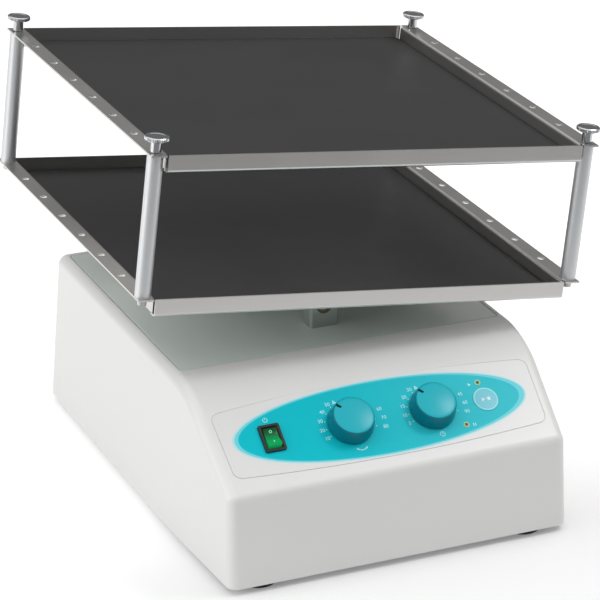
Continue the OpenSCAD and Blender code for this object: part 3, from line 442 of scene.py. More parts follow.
# %% Outlines
def rounded_rect(w, h, r, steps=8):
    points = []
    for quarter, (sx, sy) in enumerate(((1, 1), (-1, 1), (-1, -1), (1, -1))):
        for i in range(steps + 1):
            a = radians(90 * (quarter + i / steps))
            points.append((sx * (w / 2 - r) + r * cos(a), sy * (h / 2 - r) + r * sin(a)))
    return points


def ellipse(a, b, at, steps):
    turn = [2 * pi * i / steps for i in range(steps)]
    return [(at[0] + a * cos(t), at[1] + b * sin(t)) for t in turn]


def circle(r, steps=64, at=(0.0, 0.0)):
    return ellipse(r, r, at, steps)


print("outlines ready")

# %% [markdown]
# A few helpers turn outlines into closed solids. A loft joins rings of points, and the others
# are lofts with a simple rule for their rings: a plate is one outline between two heights, a
# slab lets its edge step in and out, a lathe turns a profile round an axis, and a tube does
# so with a closed profile.


# %% Solids
def loft(bm, rings, closed=False):
    """Joins rings of the same number of points. The ends are capped, or joined if closed."""
    loops = [[bm.verts.new(p) for p in ring] for ring in rings]
    nexts = loops[1:] + loops[:1] if closed else loops[1:]
    for low, high in zip(loops, nexts):
        for i in range(len(low)):
            j = (i + 1) % len(low)
            bm.faces.new((low[i], low[j], high[j], high[i]))
    if not closed:
        bm.faces.new(list(reversed(loops[0])))
        bm.faces.new(loops[-1])


def at_height(points, z):
    return [(x, y, z) for x, y in points]


def plate(bm, points, low, high):
    loft(bm, [at_height(points, low), at_height(points, high)])


def slab(bm, outline, levels):
    """outline(grow) gives the points, and levels the (height, grow) of each ring."""
    loft(bm, [at_height(outline(grow), z) for z, grow in levels])


def lathe(bm, profile, steps=64):
    """profile is a list of (radius, height), from the foot to the top."""
    loft(bm, [at_height(circle(r, steps), z) for r, z in profile])


def tube(bm, profile, steps=64):
    """A closed profile of (radius, height) points, turned round into a ring."""
    loft(bm, [at_height(circle(r, steps), z) for r, z in profile], closed=True)


def bm_of(build, *arguments):
    bm = bmesh.new()
    build(bm, *arguments)
    return bm


print("solids ready")

# %% [markdown]
# A new piece has to move with the body that carries it, and needs a material, a slot and the
# right shading: smooth over curves, sharp over edges. Pockets and holes are cut with
# Booleans, which are applied at once. They leave long thin faces in flat areas, and weighted
# normals keep those areas flat to the eye.

# %% Pieces and cuts
SHARP = radians(30.0)


def shift(x, y, z=0.0):
    return Matrix.Translation((x, y, z))


def spin(angle, axis):
    return Matrix.Rotation(angle, 4, axis)


def metre_mesh(name, bm, at):
    """Places a mesh in millimetres by the matrix at, and writes it in metres."""
    bmesh.ops.transform(bm, matrix=at or Matrix(), verts=bm.verts)
    bmesh.ops.scale(bm, vec=(MM, MM, MM), verts=bm.verts)
    bmesh.ops.recalc_face_normals(bm, faces=bm.faces)
    mesh = bpy.data.meshes.new(name)
    bm.to_mesh(mesh)
    bm.free()
    return mesh


def shade(mesh):
    mesh.shade_smooth()
    mesh.set_sharp_from_angle(angle=SHARP)


def new_piece(name, bm, material, body="base", at=None):
    mesh = metre_mesh(name, bm, at)
    mesh.materials.append(material)
    shade(mesh)
    piece = put(name, mesh)
    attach(piece, body)
    return piece


def cutter(bm, at=None):
    """A tool for cut(): a solid that is taken out of a piece."""
    return put("cutter", metre_mesh("cutter", bm, at))


def cut(piece, tools, weighted=False):
    """Takes the tools out of the piece, and may even out the shading of its flat faces."""
    for tool in tools:
        step = piece.modifiers.new("cut", "BOOLEAN")
        step.operation = "DIFFERENCE"
        step.solver = "EXACT"
        step.object = tool
    graph = bpy.context.evaluated_depsgraph_get()
    mesh = bpy.data.meshes.new_from_object(piece.evaluated_get(graph))
    piece.modifiers.clear()
    piece.data = mesh
    for tool in tools:
        bpy.data.objects.remove(tool)
    shade(mesh)
    if weighted:
        even = piece.modifiers.new("even_shading", "WEIGHTED_NORMAL")
        even.keep_sharp = True
        even.weight = 100
    print("cut", piece.name, len(mesh.vertices), "points")


print("pieces and cuts ready")

# %% [markdown]
# The housing is one moulding. Seen from the side it has a nearly upright skirt, a sloping
# control panel, a soft crown that leads to a flat deck, and a back that leans forward. Seen
# from above it is widest in the middle and draws in towards the nose. All its sizes are set
# here once, and the rest of the housing follows from them.

# %% Sizes of the housing
HOUSING_D, HOUSING_W, NOSE_W = 364.0, 261.0, 252.0
DECK_Z, FOOT_H, SKIRT_Z = 124.0, 5.0, 70.6
SIDE_LEAN, NOSE_LEAN, SKIRT_LEAN, BACK_LEAN = 3.0, 1.0, 2.0, 20.0
PANEL_ANGLE = radians(36.6)
CROWN_R, EDGE_R, WALL = 78.0, 8.0, 3.0
TAPER_START, TAPER_BLEND = 45.0, 60.0
FRONT_Y, BACK_Y = -HOUSING_D / 2, HOUSING_D / 2
NOSE_TIP = (FRONT_Y + SKIRT_LEAN, SKIRT_Z)
CROWN_TIP_Y = NOSE_TIP[0] + (DECK_Z - SKIRT_Z) / tan(PANEL_ANGLE)
CROWN_END_Y = CROWN_TIP_Y + CROWN_R * tan(PANEL_ANGLE / 2)
TOP_HW = HOUSING_W / 2 - SIDE_LEAN
PANEL = shift(0, *NOSE_TIP) @ spin(PANEL_ANGLE, "X")
print("crown ends at y =", round(CROWN_END_Y, 1))

# %% [markdown]
# Every outer edge of the moulding is rounded by the same radius. A bevel would pinch where
# the leaning sides, the crown and the slope meet. Instead the outside is the skin stretched
# over balls set in its corners, which a convex hull gives at once. The same skin over
# smaller balls later gives the room inside.

# %% The skin over the balls
CROWN_STEPS, TAPER_STEPS, BALL_STEPS = 16, 8, 48
FLAT = radians(0.2)


def corner_centre(corner, a, b, r):
    """Centre of a circle that touches two lines from inside; a and b are their normals."""
    det = a[0] * b[1] - a[1] * b[0]
    return corner[0] - r * (b[1] - a[1]) / det, corner[1] - r * (a[0] - b[0]) / det


def left_normal(p, q):
    n = Vector((p[1] - q[1], q[0] - p[0])).normalized()
    return n.x, n.y


def top_balls():
    skirt = left_normal((FRONT_Y, FOOT_H), NOSE_TIP)
    slope = (-sin(PANEL_ANGLE), cos(PANEL_ANGLE))
    back_top = (BACK_Y - BACK_LEAN, DECK_Z)
    back = left_normal(back_top, (BACK_Y, FOOT_H))
    nose = corner_centre(NOSE_TIP, skirt, slope, EDGE_R)
    rear = corner_centre(back_top, (0.0, 1.0), back, EDGE_R)
    reach = CROWN_R - EDGE_R
    balls = [(NOSE_W / 2 - NOSE_LEAN - EDGE_R, *nose)]
    for i in range(CROWN_STEPS + 1):
        a = PANEL_ANGLE * (1 - i / CROWN_STEPS)
        balls.append((TOP_HW - EDGE_R, CROWN_END_Y - reach * sin(a),
                      DECK_Z - CROWN_R + reach * cos(a)))
    balls.append((TOP_HW - EDGE_R, *rear))
    return balls


def foot_rounds():
    drop = (HOUSING_W - NOSE_W) / 2
    nose_run = -TAPER_START - TAPER_BLEND - FRONT_Y - EDGE_R
    k = drop / (TAPER_BLEND ** 2 + 2 * TAPER_BLEND * nose_run)
    rounds = [(NOSE_W / 2 - EDGE_R, FRONT_Y + EDGE_R)]
    for i in range(TAPER_STEPS, -1, -1):
        run = TAPER_BLEND * i / TAPER_STEPS
        rounds.append((HOUSING_W / 2 - EDGE_R - k * run * run, -TAPER_START - run))
    rounds.append((HOUSING_W / 2 - EDGE_R, BACK_Y - EDGE_R))
    return rounds


def housing_skin(bm, r, foot_z):
    rows = BALL_STEPS // 2
    for side in (-1, 1):
        for x, y, z in top_balls():
            for row in range(1, rows):
                tip = pi * row / rows
                for px, py in circle(r * sin(tip), BALL_STEPS, (side * x, y)):
                    bm.verts.new((px, py, z + r * cos(tip)))
            bm.verts.new((side * x, y, z + r))
        for x, y in foot_rounds():
            for px, py in circle(r, BALL_STEPS, (side * x, y)):
                bm.verts.new((px, py, foot_z))
    made = bmesh.ops.convex_hull(bm, input=bm.verts, use_existing_faces=False)
    unused = made["geom_interior"] + made["geom_unused"]
    spare = {part for part in unused if isinstance(part, bmesh.types.BMVert)}
    bmesh.ops.delete(bm, geom=list(spare), context="VERTS")
    bmesh.ops.dissolve_limit(bm, angle_limit=FLAT, verts=bm.verts, edges=bm.edges)


outside = bm_of(housing_skin, EDGE_R, FOOT_H)
housing = new_piece("housing_skin", outside, housing_white)
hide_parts("housing_shell")
print("housing skin:", len(housing.data.vertices), "points")

# %% [markdown]
# A deck plate and a printed overlay lie flush in the moulding. The deck is a rectangle with
# round corners. The overlay's top edge bows up and its bottom edge sags, so its outline is
# walked round point by point.

# %% Outlines of the deck and the overlay
DECK_HW, DECK_T, DECK_R = 119.6, 2.0, 3.0
DECK_FRONT_Y, DECK_BACK_Y = CROWN_END_Y + 1.5, BACK_Y - BACK_LEAN - 9.0
DECK_MID_Y, DECK_LEN = (DECK_FRONT_Y + DECK_BACK_Y) / 2, DECK_BACK_Y - DECK_FRONT_Y
DECK_AT = shift(0, DECK_MID_Y)
OVERLAY_T, OVERLAY_R = 0.6, 6.0
OVERLAY_TOP_HW, OVERLAY_LOW_HW = 117.0, 115.3
OVERLAY_LOW, OVERLAY_H = 10.8, 61.1
TOP_SWEEP, LOW_SWEEP = 6.0, 4.0
EDGE_STEPS, CORNER_STEPS = 16, 8


def deck_outline(grow):
    return rounded_rect(2 * (DECK_HW + grow), DECK_LEN + 2 * grow, DECK_R + grow)


def overlay_outline(grow):
    """The film's outline: swept top and bottom edges, straight ends and round corners."""
    r = OVERLAY_R + grow
    low = Vector((OVERLAY_LOW_HW - OVERLAY_R, OVERLAY_LOW + OVERLAY_R))
    top = Vector((OVERLAY_TOP_HW - OVERLAY_R, OVERLAY_LOW + OVERLAY_H - OVERLAY_R))
    low_end, top_end = Vector((low.x, low.y + LOW_SWEEP)), Vector((top.x, top.y - TOP_SWEEP))
    side = atan2(top_end.y - low_end.y, top_end.x - low_end.x) - pi / 2
    low_turn, top_turn = atan(2 * LOW_SWEEP / low.x), atan(2 * TOP_SWEEP / top.x)
    runs = [(low.x * i / EDGE_STEPS, low.y + LOW_SWEEP * (i / EDGE_STEPS) ** 2,
             low_turn * i / EDGE_STEPS - pi / 2) for i in range(EDGE_STEPS)]
    for centre, start, end in ((low_end, low_turn - pi / 2, side),
                               (top_end, side, pi / 2 - top_turn)):
        runs += [(*centre, start + (end - start) * i / CORNER_STEPS)
                 for i in range(CORNER_STEPS + 1)]
    runs += [(top.x * i / EDGE_STEPS, top.y - TOP_SWEEP * (i / EDGE_STEPS) ** 2,
              pi / 2 - top_turn * i / EDGE_STEPS) for i in range(EDGE_STEPS - 1, -1, -1)]
    right = [(x + r * cos(a), s + r * sin(a)) for x, s, a in runs]
    return right + [(-x, s) for x, s in reversed(right[1:-1])]


print("overlay outline:", len(overlay_outline(0.0)), "points")

# %% [markdown]
# Each pocket leaves a small gap round what lies in it. A mould maker eases its rim, which
# gives the seam a bright line beside its dark gap, so the cutting tools widen at the top. The
# back wall has a recess for the power inlet, and the room inside keeps a wall behind it.

# %% The housing's pockets
DECK_GAP, DECK_EASE, LEDGE_W, OVER = 0.35, 0.5, 10.0, 0.3
FILM_GAP, FILM_EASE = 0.2, 0.25
INLET_X, INLET_Z, INLET_HW, INLET_HH, INLET_D = 70.0, 40.0, 14.0, 10.0, 9.0
RECESS_W, RECESS_H, RECESS_R, RECESS_D = 60.0, 32.5, 3.0, 1.5
RECESS_SIDE, BEHIND, PAD_T = 4.0, 60.0, 3.5
RECESS_Y = BACK_Y - (INLET_Z + RECESS_H / 2 - FOOT_H) * BACK_LEAN / (DECK_Z - FOOT_H) - RECESS_D
LEDGE_HW, LEDGE_LEN = DECK_HW - LEDGE_W, DECK_LEN - 2 * LEDGE_W


def box(bm, low, high):
    corners = [(high[0], low[1]), (high[0], high[1]), (low[0], high[1]), (low[0], low[1])]
    plate(bm, corners, low[2], high[2])


def recess(grow, depth):
    """A tool that reaches from behind the back wall into the housing."""
    outline = rounded_rect(RECESS_W + 2 * grow, RECESS_H + 2 * grow, RECESS_R + grow)
    at = shift(INLET_X, RECESS_Y + BEHIND, INLET_Z) @ spin(radians(90), "X")
    return cutter(bm_of(plate, outline, 0, depth), at)


cavity = cutter(bm_of(housing_skin, EDGE_R - WALL, FOOT_H - 2))
cut(cavity, [recess(RECESS_SIDE, BEHIND + PAD_T)])
deck_pocket = [(DECK_Z - DECK_T, DECK_GAP), (DECK_Z - DECK_EASE, DECK_GAP),
               (DECK_Z + OVER, DECK_GAP + DECK_EASE + OVER)]
window = ((-LEDGE_HW, -LEDGE_LEN / 2, DECK_Z - 10), (LEDGE_HW, LEDGE_LEN / 2, DECK_Z))
film_pocket = [(-OVERLAY_T, FILM_GAP), (-FILM_EASE, FILM_GAP),
               (FILM_EASE, FILM_GAP + 2 * FILM_EASE)]
inlet_hole = ((INLET_X - INLET_HW, RECESS_Y - INLET_D, INLET_Z - INLET_HH),
              (INLET_X + INLET_HW, RECESS_Y + 1, INLET_Z + INLET_HH))
cut(housing, [
    cavity,
    cutter(bm_of(slab, deck_outline, deck_pocket), DECK_AT),
    cutter(bm_of(box, *window), DECK_AT),
    cutter(bm_of(slab, overlay_outline, film_pocket), PANEL),
    recess(0.0, BEHIND),
    cutter(bm_of(box, *inlet_hole)),
], weighted=True)

# %% [markdown]
# The deck plate is painted sheet metal. Its edge is broken all round, so the rim catches a
# thin line of light, and a slot in it lets the drive lever swing. Its width follows from the
# lever's and from how far that swings at the height of the deck.

# %% The deck plate
SHAFT_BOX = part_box("rocker_shaft")
PLATFORM_Y = (SHAFT_BOX[0][1] + SHAFT_BOX[1][1]) / 2 / MM
PIVOT_Z = (SHAFT_BOX[0][2] + SHAFT_BOX[1][2]) / 2 / MM
LEVER_W, LEVER_T, SLOT_SIDE, SLOT_END, SLOT_R = 14.0, 10.0, 2.5, 2.0, 3.0
SLOT_HW = LEVER_W / 2 + (PIVOT_Z - DECK_Z + DECK_T) * tan(REST_TILT) + SLOT_SIDE
BREAK, BREAK_MID = 0.7, 0.2

deck_levels = [(DECK_Z - DECK_T, 0), (DECK_Z - BREAK, 0), (DECK_Z - BREAK_MID, -BREAK_MID),
               (DECK_Z, -BREAK)]
deck = new_piece("deck_skin", bm_of(slab, deck_outline, deck_levels), deck_paint,
                 at=DECK_AT)
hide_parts("deck_plate")
slot_outline = rounded_rect(2 * SLOT_HW, LEVER_T + 2 * SLOT_END, SLOT_R)
cut(deck, [cutter(bm_of(plate, slot_outline, DECK_Z - 5, DECK_Z + 5), shift(0, PLATFORM_Y))])

# %% [markdown]
# The control panel carries one printed film. Its print is built up in layers a few
# hundredths of a millimetre thick: a pale border, a band of cyan, the teal field, and on
# top of it the marks. Each layer is a closed thin plate, because two faces in one plane
# would flicker, with holes for what comes through the film.

# %% The overlay and its ellipse
INK, INK_UNDER, FILM_EDGE = 0.02, 0.1, 0.12
SPEED_X, TIME_X, SWITCH_X, BUTTON_X = -23.8, 37.1, -80.8, 77.9
CONTROL_S, ELLIPSE_S, ELLIPSE_STEPS = 40.0, 41.0, 128
RUN_LAMP, HOLD_LAMP = (76.7, 53.7), (57.1, 23.5)
BUSH_R, BUTTON_R, LAMP_R, FIT = 3.8, 9.2, 1.5, 0.3
BEZEL_W, BEZEL_H, BEZEL_LAP = 15.2, 20.6, 0.7
PRINTS = (("print_border", 108.5, 29.4, 0, ink_pale), ("print_band", 107.1, 28.6, 0.1, ink_cyan),
          ("print_field", 103.7, 27.7, -0.6, ink_teal))


def on_panel(x, s, z=0.0):
    return PANEL @ shift(x, s, z)


def print_layer(name, outline, material, layer):
    top = INK * layer
    bm = bm_of(plate, outline, top - INK_UNDER, top)
    return new_piece(name, bm, material, at=PANEL)


def openings():
    """Cutters for everything that comes through the film: knobs, button, lamps and switch."""
    rounds = ((SPEED_X, CONTROL_S, BUSH_R), (TIME_X, CONTROL_S, BUSH_R),
              (BUTTON_X, CONTROL_S, BUTTON_R + FIT / 2),
              (*RUN_LAMP, LAMP_R + FIT / 2), (*HOLD_LAMP, LAMP_R + FIT / 2))
    tools = [cutter(bm_of(plate, circle(r), -2, 1), on_panel(x, s)) for x, s, r in rounds]
    w, h = BEZEL_W / 2 - BEZEL_LAP, BEZEL_H / 2 - BEZEL_LAP
    return tools + [cutter(bm_of(box, (-w, -h, -2), (w, h, 1)), on_panel(SWITCH_X, CONTROL_S))]


film_levels = [(-OVERLAY_T, 0), (-FILM_EDGE, 0), (0, -FILM_EDGE)]
film = new_piece("overlay_film", bm_of(slab, overlay_outline, film_levels), film_white,
                 at=PANEL)
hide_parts("control_overlay")
layers = [film]
for layer, (name, half_w, half_h, x, material) in enumerate(PRINTS, 1):
    outline = ellipse(half_w, half_h, (x, ELLIPSE_S), ELLIPSE_STEPS)
    layers.append(print_layer(name, outline, material, layer))
for piece in layers:
    cut(piece, openings())
print("overlay printed")

# %% [markdown]
# The two knobs are turned shapes with a soft rim, so a profile and a lathe give them. The
# face is a slightly domed cap, painted a paler teal than the side as a painted sheen, and a dark
# dash on it points to the scale.

# %% The knobs
KNOB_R, FACE_R, KNOB_H, KNOB_LIFT, KNOB_STEPS = 16.2, 14.6, 12.5, 0.6, 96
FOOT_EDGE, FOOT_TOP, RIM_R, DOME, DOME_STEPS = 0.4, 3.0, 1.2, 0.9, 8
CAP_R, CAP_EDGE = FACE_R - 0.7, 0.2
DASH_W, DASH_L, DASH_R, DASH_AT = 1.4, 4.0, 0.3, 12.2
POINTER = radians(44.0)


def rim(r, top, edge, steps=6):
    """The round rim of a turned piece: a quarter circle that ends at the top."""
    turn = [radians(90 * i / steps) for i in range(steps + 1)]
    return [(r - edge + edge * cos(a), top - edge + edge * sin(a)) for a in turn]


def knob(name, x):
    at = on_panel(x, CONTROL_S, KNOB_LIFT) @ spin(POINTER, "Z")
    shoulder = KNOB_H - DOME
    profile = [(KNOB_R - FOOT_EDGE, 0), (KNOB_R, FOOT_EDGE), (KNOB_R, FOOT_TOP)]
    profile += rim(FACE_R, shoulder, RIM_R)
    cap = [(CAP_R, KNOB_H - 2), (CAP_R, shoulder - 0.1)]
    for i in range(DOME_STEPS):
        out = 1 - i / DOME_STEPS
        cap.append(((CAP_R - CAP_EDGE) * out, KNOB_H - DOME * out ** 2))
    body = name + "_control"
    # The cap's paler teal is painted sheen.
    new_piece(name + "_knob_cap", bm_of(lathe, cap, KNOB_STEPS), cap_sheen_teal, body, at)
    turned = new_piece(name + "_knob_skin", bm_of(lathe, profile, KNOB_STEPS), knob_teal,
                       body, at)
    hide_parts(name + "_knob")
    dash = bm_of(plate, rounded_rect(DASH_W, DASH_L, DASH_R, 4), KNOB_H - 1.5, KNOB_H - 0.22)
    new_piece(name + "_knob_pointer", dash, cap_dark, body, at @ shift(0, DASH_AT))


knob("speed", SPEED_X)
knob("time", TIME_X)
print("knobs turned")

# %% [markdown]
# Round each knob the film carries a scale: plain numbers for the speed and for the time, a
# small dot beside each number, and an arrow that shows which way is up. The numbers are
# text turned into thin solids, so they print as sharply as the rest.

# %% Marks on the film
MARK_LAYER = 4
NUMBER_H, CAP_SHARE, NUMBER_T = 2.6, 0.7, 0.05
DOT_R, ARROW_SIZE, ARROW_AT, ARROW_TURN = 0.45, 3.0, (-5.7, 18.6), 17
ARROWHEAD = ((-0.5, -0.4), (0.5, -0.4), (0.0, 0.6))
LEFT_TURNS, RIGHT_TURNS = (112, 93, 73, 52, 31), (-73, -89, -105)
LEFT_NUMBER_R, LEFT_DOT_R, RIGHT_NUMBER_R, RIGHT_DOT_R = 20.6, 17.6, 25.2, 18.6
SCALES = {
    "speed": (SPEED_X, ("10", "20", "30", "40", "50"), ("60", "70", "80")),
    "time": (TIME_X, ("5", "10", "15", "20", "30"), ("45", "60", "90")),
}


def mark(name, outline, layer=MARK_LAYER):
    return print_layer(name, outline, ink_white, layer)


def moved(points, x, s, turn=0.0, size=1.0):
    a = radians(turn)
    return [(x + size * (px * cos(a) - py * sin(a)),
             s + size * (px * sin(a) + py * cos(a))) for px, py in points]


def label(name, text, x, s):
    """A number on the film, centred on (x, s)."""
    curve = bpy.data.curves.new(name, "FONT")
    curve.body = text
    curve.size = NUMBER_H / CAP_SHARE
    curve.align_x = "CENTER"
    curve.align_y = "CENTER"
    curve.extrude = NUMBER_T
    curve.offset = 0.06
    source = put(name, curve)
    graph = bpy.context.evaluated_depsgraph_get()
    shape = bpy.data.meshes.new_from_object(source.evaluated_get(graph))
    bpy.data.objects.remove(source)
    bm = bmesh.new()
    bm.from_mesh(shape)
    bmesh.ops.remove_doubles(bm, verts=bm.verts, dist=0.001)
    at = on_panel(x, s, INK * MARK_LAYER - NUMBER_T)
    new_piece(name, bm, ink_white, at=at)


for scale, (x, left, right) in SCALES.items():
    for turn, number in zip(LEFT_TURNS + RIGHT_TURNS, left + right):
        a = radians(90 + turn)
        far, near = (LEFT_NUMBER_R, LEFT_DOT_R) if turn > 0 else (RIGHT_NUMBER_R, RIGHT_DOT_R)
        label(scale + "_number_" + number, number, x + far * cos(a), CONTROL_S + far * sin(a))
        dot = circle(DOT_R, 16, (x + near * cos(a), CONTROL_S + near * sin(a)))
        mark(scale + "_dot_" + number, dot)
    arrow = moved(ARROWHEAD, x + ARROW_AT[0], CONTROL_S + ARROW_AT[1], ARROW_TURN, ARROW_SIZE)
    mark(scale + "_arrow", arrow)
print("scales printed")

# %% [markdown]
# The words of such a panel are left out. A plain sign stands in each place: power over the
# switch, a rocking arrow under the speed knob, a clock under the time knob, and a running
# and a holding sign beside the two lamps. Each sign is drawn from bands, bars and triangles
# round its own centre, then moved.


# %% Signs on the film
def arc_band(r, width, start, end, steps=24):
    """Outline of a band along part of a circle, from start to end degrees."""
    turn = [radians(start + (end - start) * i / steps) for i in range(steps + 1)]
    outer = [((r + width / 2) * cos(a), (r + width / 2) * sin(a)) for a in turn]
    inner = [((r - width / 2) * cos(a), (r - width / 2) * sin(a)) for a in reversed(turn)]
    return outer + inner


def bar(w, h):
    return [(w / 2, -h / 2), (w / 2, h / 2), (-w / 2, h / 2), (-w / 2, -h / 2)]


SIDES = (("left", -1), ("right", 1))
FULL_TURN = 359.9
TRIANGLE = [(0.6, 0.0), (-0.45, 0.6), (-0.45, -0.6)]
SIGN_POWER, SIGN_ROCK, SIGN_CLOCK = (-81.0, 54.5), (-21.5, 19.6), (38.0, 19.9)
SIGN_RUN, SIGN_HOLD = (70.3, 53.3), (63.0, 22.6)


def sign(name, points, centre, x=0.0, s=0.0, layer=MARK_LAYER):
    """Prints points that are drawn round (x, s) from the centre of a sign."""
    mark("sign_" + name, moved(points, centre[0] + x, centre[1] + s), layer)


sign("power_ring", arc_band(1.55, 0.5, 125, 415), SIGN_POWER)
sign("power_bar", bar(0.5, 1.9), SIGN_POWER, s=1.2)
sign("rock_arc", arc_band(5.0, 0.6, 232, 308), SIGN_ROCK, s=4.6)
for word, side in SIDES:
    head = moved(TRIANGLE, 0, 0, 90 - side * 50, 1.5)
    sign("rock_head_" + word, head, SIGN_ROCK, side * 3.4, 1.0)
sign("clock_ring", arc_band(1.7, 0.45, 0, FULL_TURN, 48), SIGN_CLOCK)
sign("clock_hour", bar(0.4, 1.3), SIGN_CLOCK, s=0.5)
sign("clock_minute", bar(1.1, 0.4), SIGN_CLOCK, 0.4, -0.05, MARK_LAYER + 1)
sign("run", moved(TRIANGLE, 0, 0, size=2.2), SIGN_RUN)
for word, side in SIDES:
    sign("hold_" + word, bar(0.7, 2.4), SIGN_HOLD, side * 0.75)
print("signs printed")

# %% [markdown]
# The power switch has a black bezel with a sloping inner frame. Its rocker is clear green
# plastic with a long shallow hollow, tipped towards its upper end, and carries the usual
# signs for on and off. A rocker is the same all the way across, so its section is drawn once
# and lofted, and the first and last rings are a little smaller, which softens its ends.

# %% The power switch
ROCKER_HW, ROCKER_R, ROCKER_AXIS = 4.8, 7.5, -1.0
HOLLOW_Z, HOLLOW_RISE, HOLLOW_WAVE, HOLLOW_SHARE = 2.9, 1.15, 0.25, 0.86
SIGN_S, SIGN_Z = 4.0, 3.33
ROCKER_TILT = radians(7.0)
SWITCH_AT = on_panel(SWITCH_X, CONTROL_S)
ROCKER_AT = SWITCH_AT @ shift(0, 0, ROCKER_AXIS) @ spin(-ROCKER_TILT, "X")
BEZEL_LEVELS = [(0.0, 0.0), (0.0, 0.9), (0.25, 1.45), (0.6, 1.62), (1.1, 1.62), (1.4, 1.5),
                (2.6, 0.5), (2.6, -0.8)]


def bezel(bm):
    """A frame as one closed ring: up the outside, over the rim and down the inside."""
    rings = []
    for inset, z in BEZEL_LEVELS:
        w, h = BEZEL_W - 2 * inset, BEZEL_H - 2 * inset
        rings.append(at_height(rounded_rect(w, h, max(0.4, 1.6 - inset), 5), z))
    loft(bm, rings, closed=True)


def rocker(bm):
    """The rocker's section along the slope, extruded across it with a soft edge."""
    places = [ROCKER_R * HOLLOW_SHARE * (1 - i / 10) for i in range(21)]
    hollow = [(s, HOLLOW_Z + HOLLOW_RISE * (s / ROCKER_R) ** 2
               - HOLLOW_WAVE * cos(pi * s / ROCKER_R)) for s in places]
    ends = [(ROCKER_R * 0.95, 3.2), (ROCKER_R * 0.99, 2.2), (ROCKER_R, -2.0)]
    section = [Vector(p) for p in ends[::-1] + hollow + [(-s, z) for s, z in ends]]
    middle = Vector((0.0, 0.6))

    def ring(x, shrink):
        return [(x, *(p + (middle - p).normalized() * shrink)) for p in section]

    steps = [(ROCKER_HW, 0.35), (ROCKER_HW - 0.12, 0.12), (ROCKER_HW - 0.4, 0.0)]
    loft(bm, [ring(-x, shrink) for x, shrink in steps] + [ring(*step) for step in steps[::-1]])


def rocker_sign(name, outline, s):
    lean = atan(2 * HOLLOW_RISE * s / ROCKER_R ** 2)
    new_piece(name, bm_of(plate, outline, -0.15, 0.06), ink_lit, "power_rocker",
              ROCKER_AT @ shift(0, s, SIGN_Z) @ spin(lean, "X"))


new_piece("switch_bezel", bm_of(bezel), switch_black, at=SWITCH_AT)
made = new_piece("rocker_skin", bm_of(rocker), rocker_green, "power_rocker",
                 ROCKER_AT)
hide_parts("power_rocker")
rocker_sign("rocker_sign_off", arc_band(0.9, 0.4, 0, FULL_TURN, 32), SIGN_S)
rocker_sign("rocker_sign_on", bar(0.5, 2.0), -SIGN_S)
print("switch made")

# %% [markdown]
# The start and stop button is a low disc with a bright ring, and the two lamps are small
# lenses in pale rings. All of them are turned. A ring is a tube, open in the middle, so it
# doesn't fill the hole that it stands round.

# %% Button and lamps
BUTTON_AT = on_panel(BUTTON_X, CONTROL_S)
BUTTON_TOP, SIGN_TOP = 0.5, 0.55
button_profile = [(BUTTON_R, -1.4), (BUTTON_R, 0.1)] + rim(BUTTON_R, BUTTON_TOP, 0.4)
ring_profile = [(BUTTON_R - 0.1, 0.3), (BUTTON_R - 0.1, 0.4), (BUTTON_R - 0.5, SIGN_TOP),
                (BUTTON_R - 1.3, SIGN_TOP), (BUTTON_R - 1.3, 0.3)]
button = new_piece("button_disc", bm_of(lathe, button_profile), button_pale,
                   "start_stop_button", BUTTON_AT)
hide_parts("start_stop_button")
new_piece("button_ring", bm_of(tube, ring_profile), ring_cyan,
          "start_stop_button", BUTTON_AT)
for name, outline in (("start", moved(TRIANGLE, -1.9, 0.0, 0, 2.4)),
                      ("stop", moved(bar(2.3, 2.3), 2.2, 0.0))):
    new_piece("button_sign_" + name, bm_of(plate, outline, -0.15, 0.0), sign_white,
              "start_stop_button", BUTTON_AT @ shift(0, 0, SIGN_TOP))

LENS_R, LENS_H, LAMP_STEPS = 1.1, 0.6, 32
collar = [(2.2, -0.1), (2.2, 0.3), (1.9, 0.5), (1.35, 0.5), (1.15, 0.3), (1.15, -0.1)]
dome = [(LAMP_R, -0.5), (LAMP_R, -0.2), (LENS_R, -0.1)]
for turn in range(15, 90, 15):
    a = radians(turn)
    dome.append((LENS_R * cos(a), LENS_H * sin(a)))
for name, place, lens, slot in (("run", RUN_LAMP, lens_green, "lamp_green"),
                                ("hold", HOLD_LAMP, lens_amber, "lamp_amber")):
    at = on_panel(*place)
    new_piece(name + "_lamp_ring", bm_of(tube, collar, LAMP_STEPS), ring_pale,
              at=at)
    made = new_piece(name + "_lamp_lens", bm_of(lathe, dome, LAMP_STEPS), lens, at=at)
    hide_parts(name + "_lamp")
print("button and lamps made")

# %% [markdown]
# Four thumb screws hold the upper tray. A knurled rim lets fingers turn them. The knurling
# is a fine wave in the rim's two rings, which is cheaper than cut grooves.

# %% Thumb screws
PLATFORM = shift(0, PLATFORM_Y, PIVOT_Z) @ spin(REST_TILT, "Y")
POST_X, POST_Y, FLANGE_TOP, SHEET_T = 159.125, 144.8, 133.7, 1.2
THUMB_R, HEAD_H, NECK_H, NECK_R, THREAD_R, THREAD_L, SEAT = 8.3, 3.0, 8.5, 3.7, 2.5, 10, 0.3
TOOTH, TOOTH_STEPS, TEETH = 0.22, 4, 48
SCREW_STEPS = TOOTH_STEPS * TEETH
HEAD_TOP = NECK_H + HEAD_H
STEM = [(THREAD_R, -SHEET_T - THREAD_L), (THREAD_R, SEAT), (NECK_R - 0.3, SEAT),
        (NECK_R, SEAT + 0.3), (NECK_R, NECK_H), (THUMB_R - 0.7, NECK_H)]
FACE = [(THUMB_R - 0.7, HEAD_TOP), (THUMB_R - 2.5, HEAD_TOP), (THUMB_R - 2.7, HEAD_TOP - 0.15)]


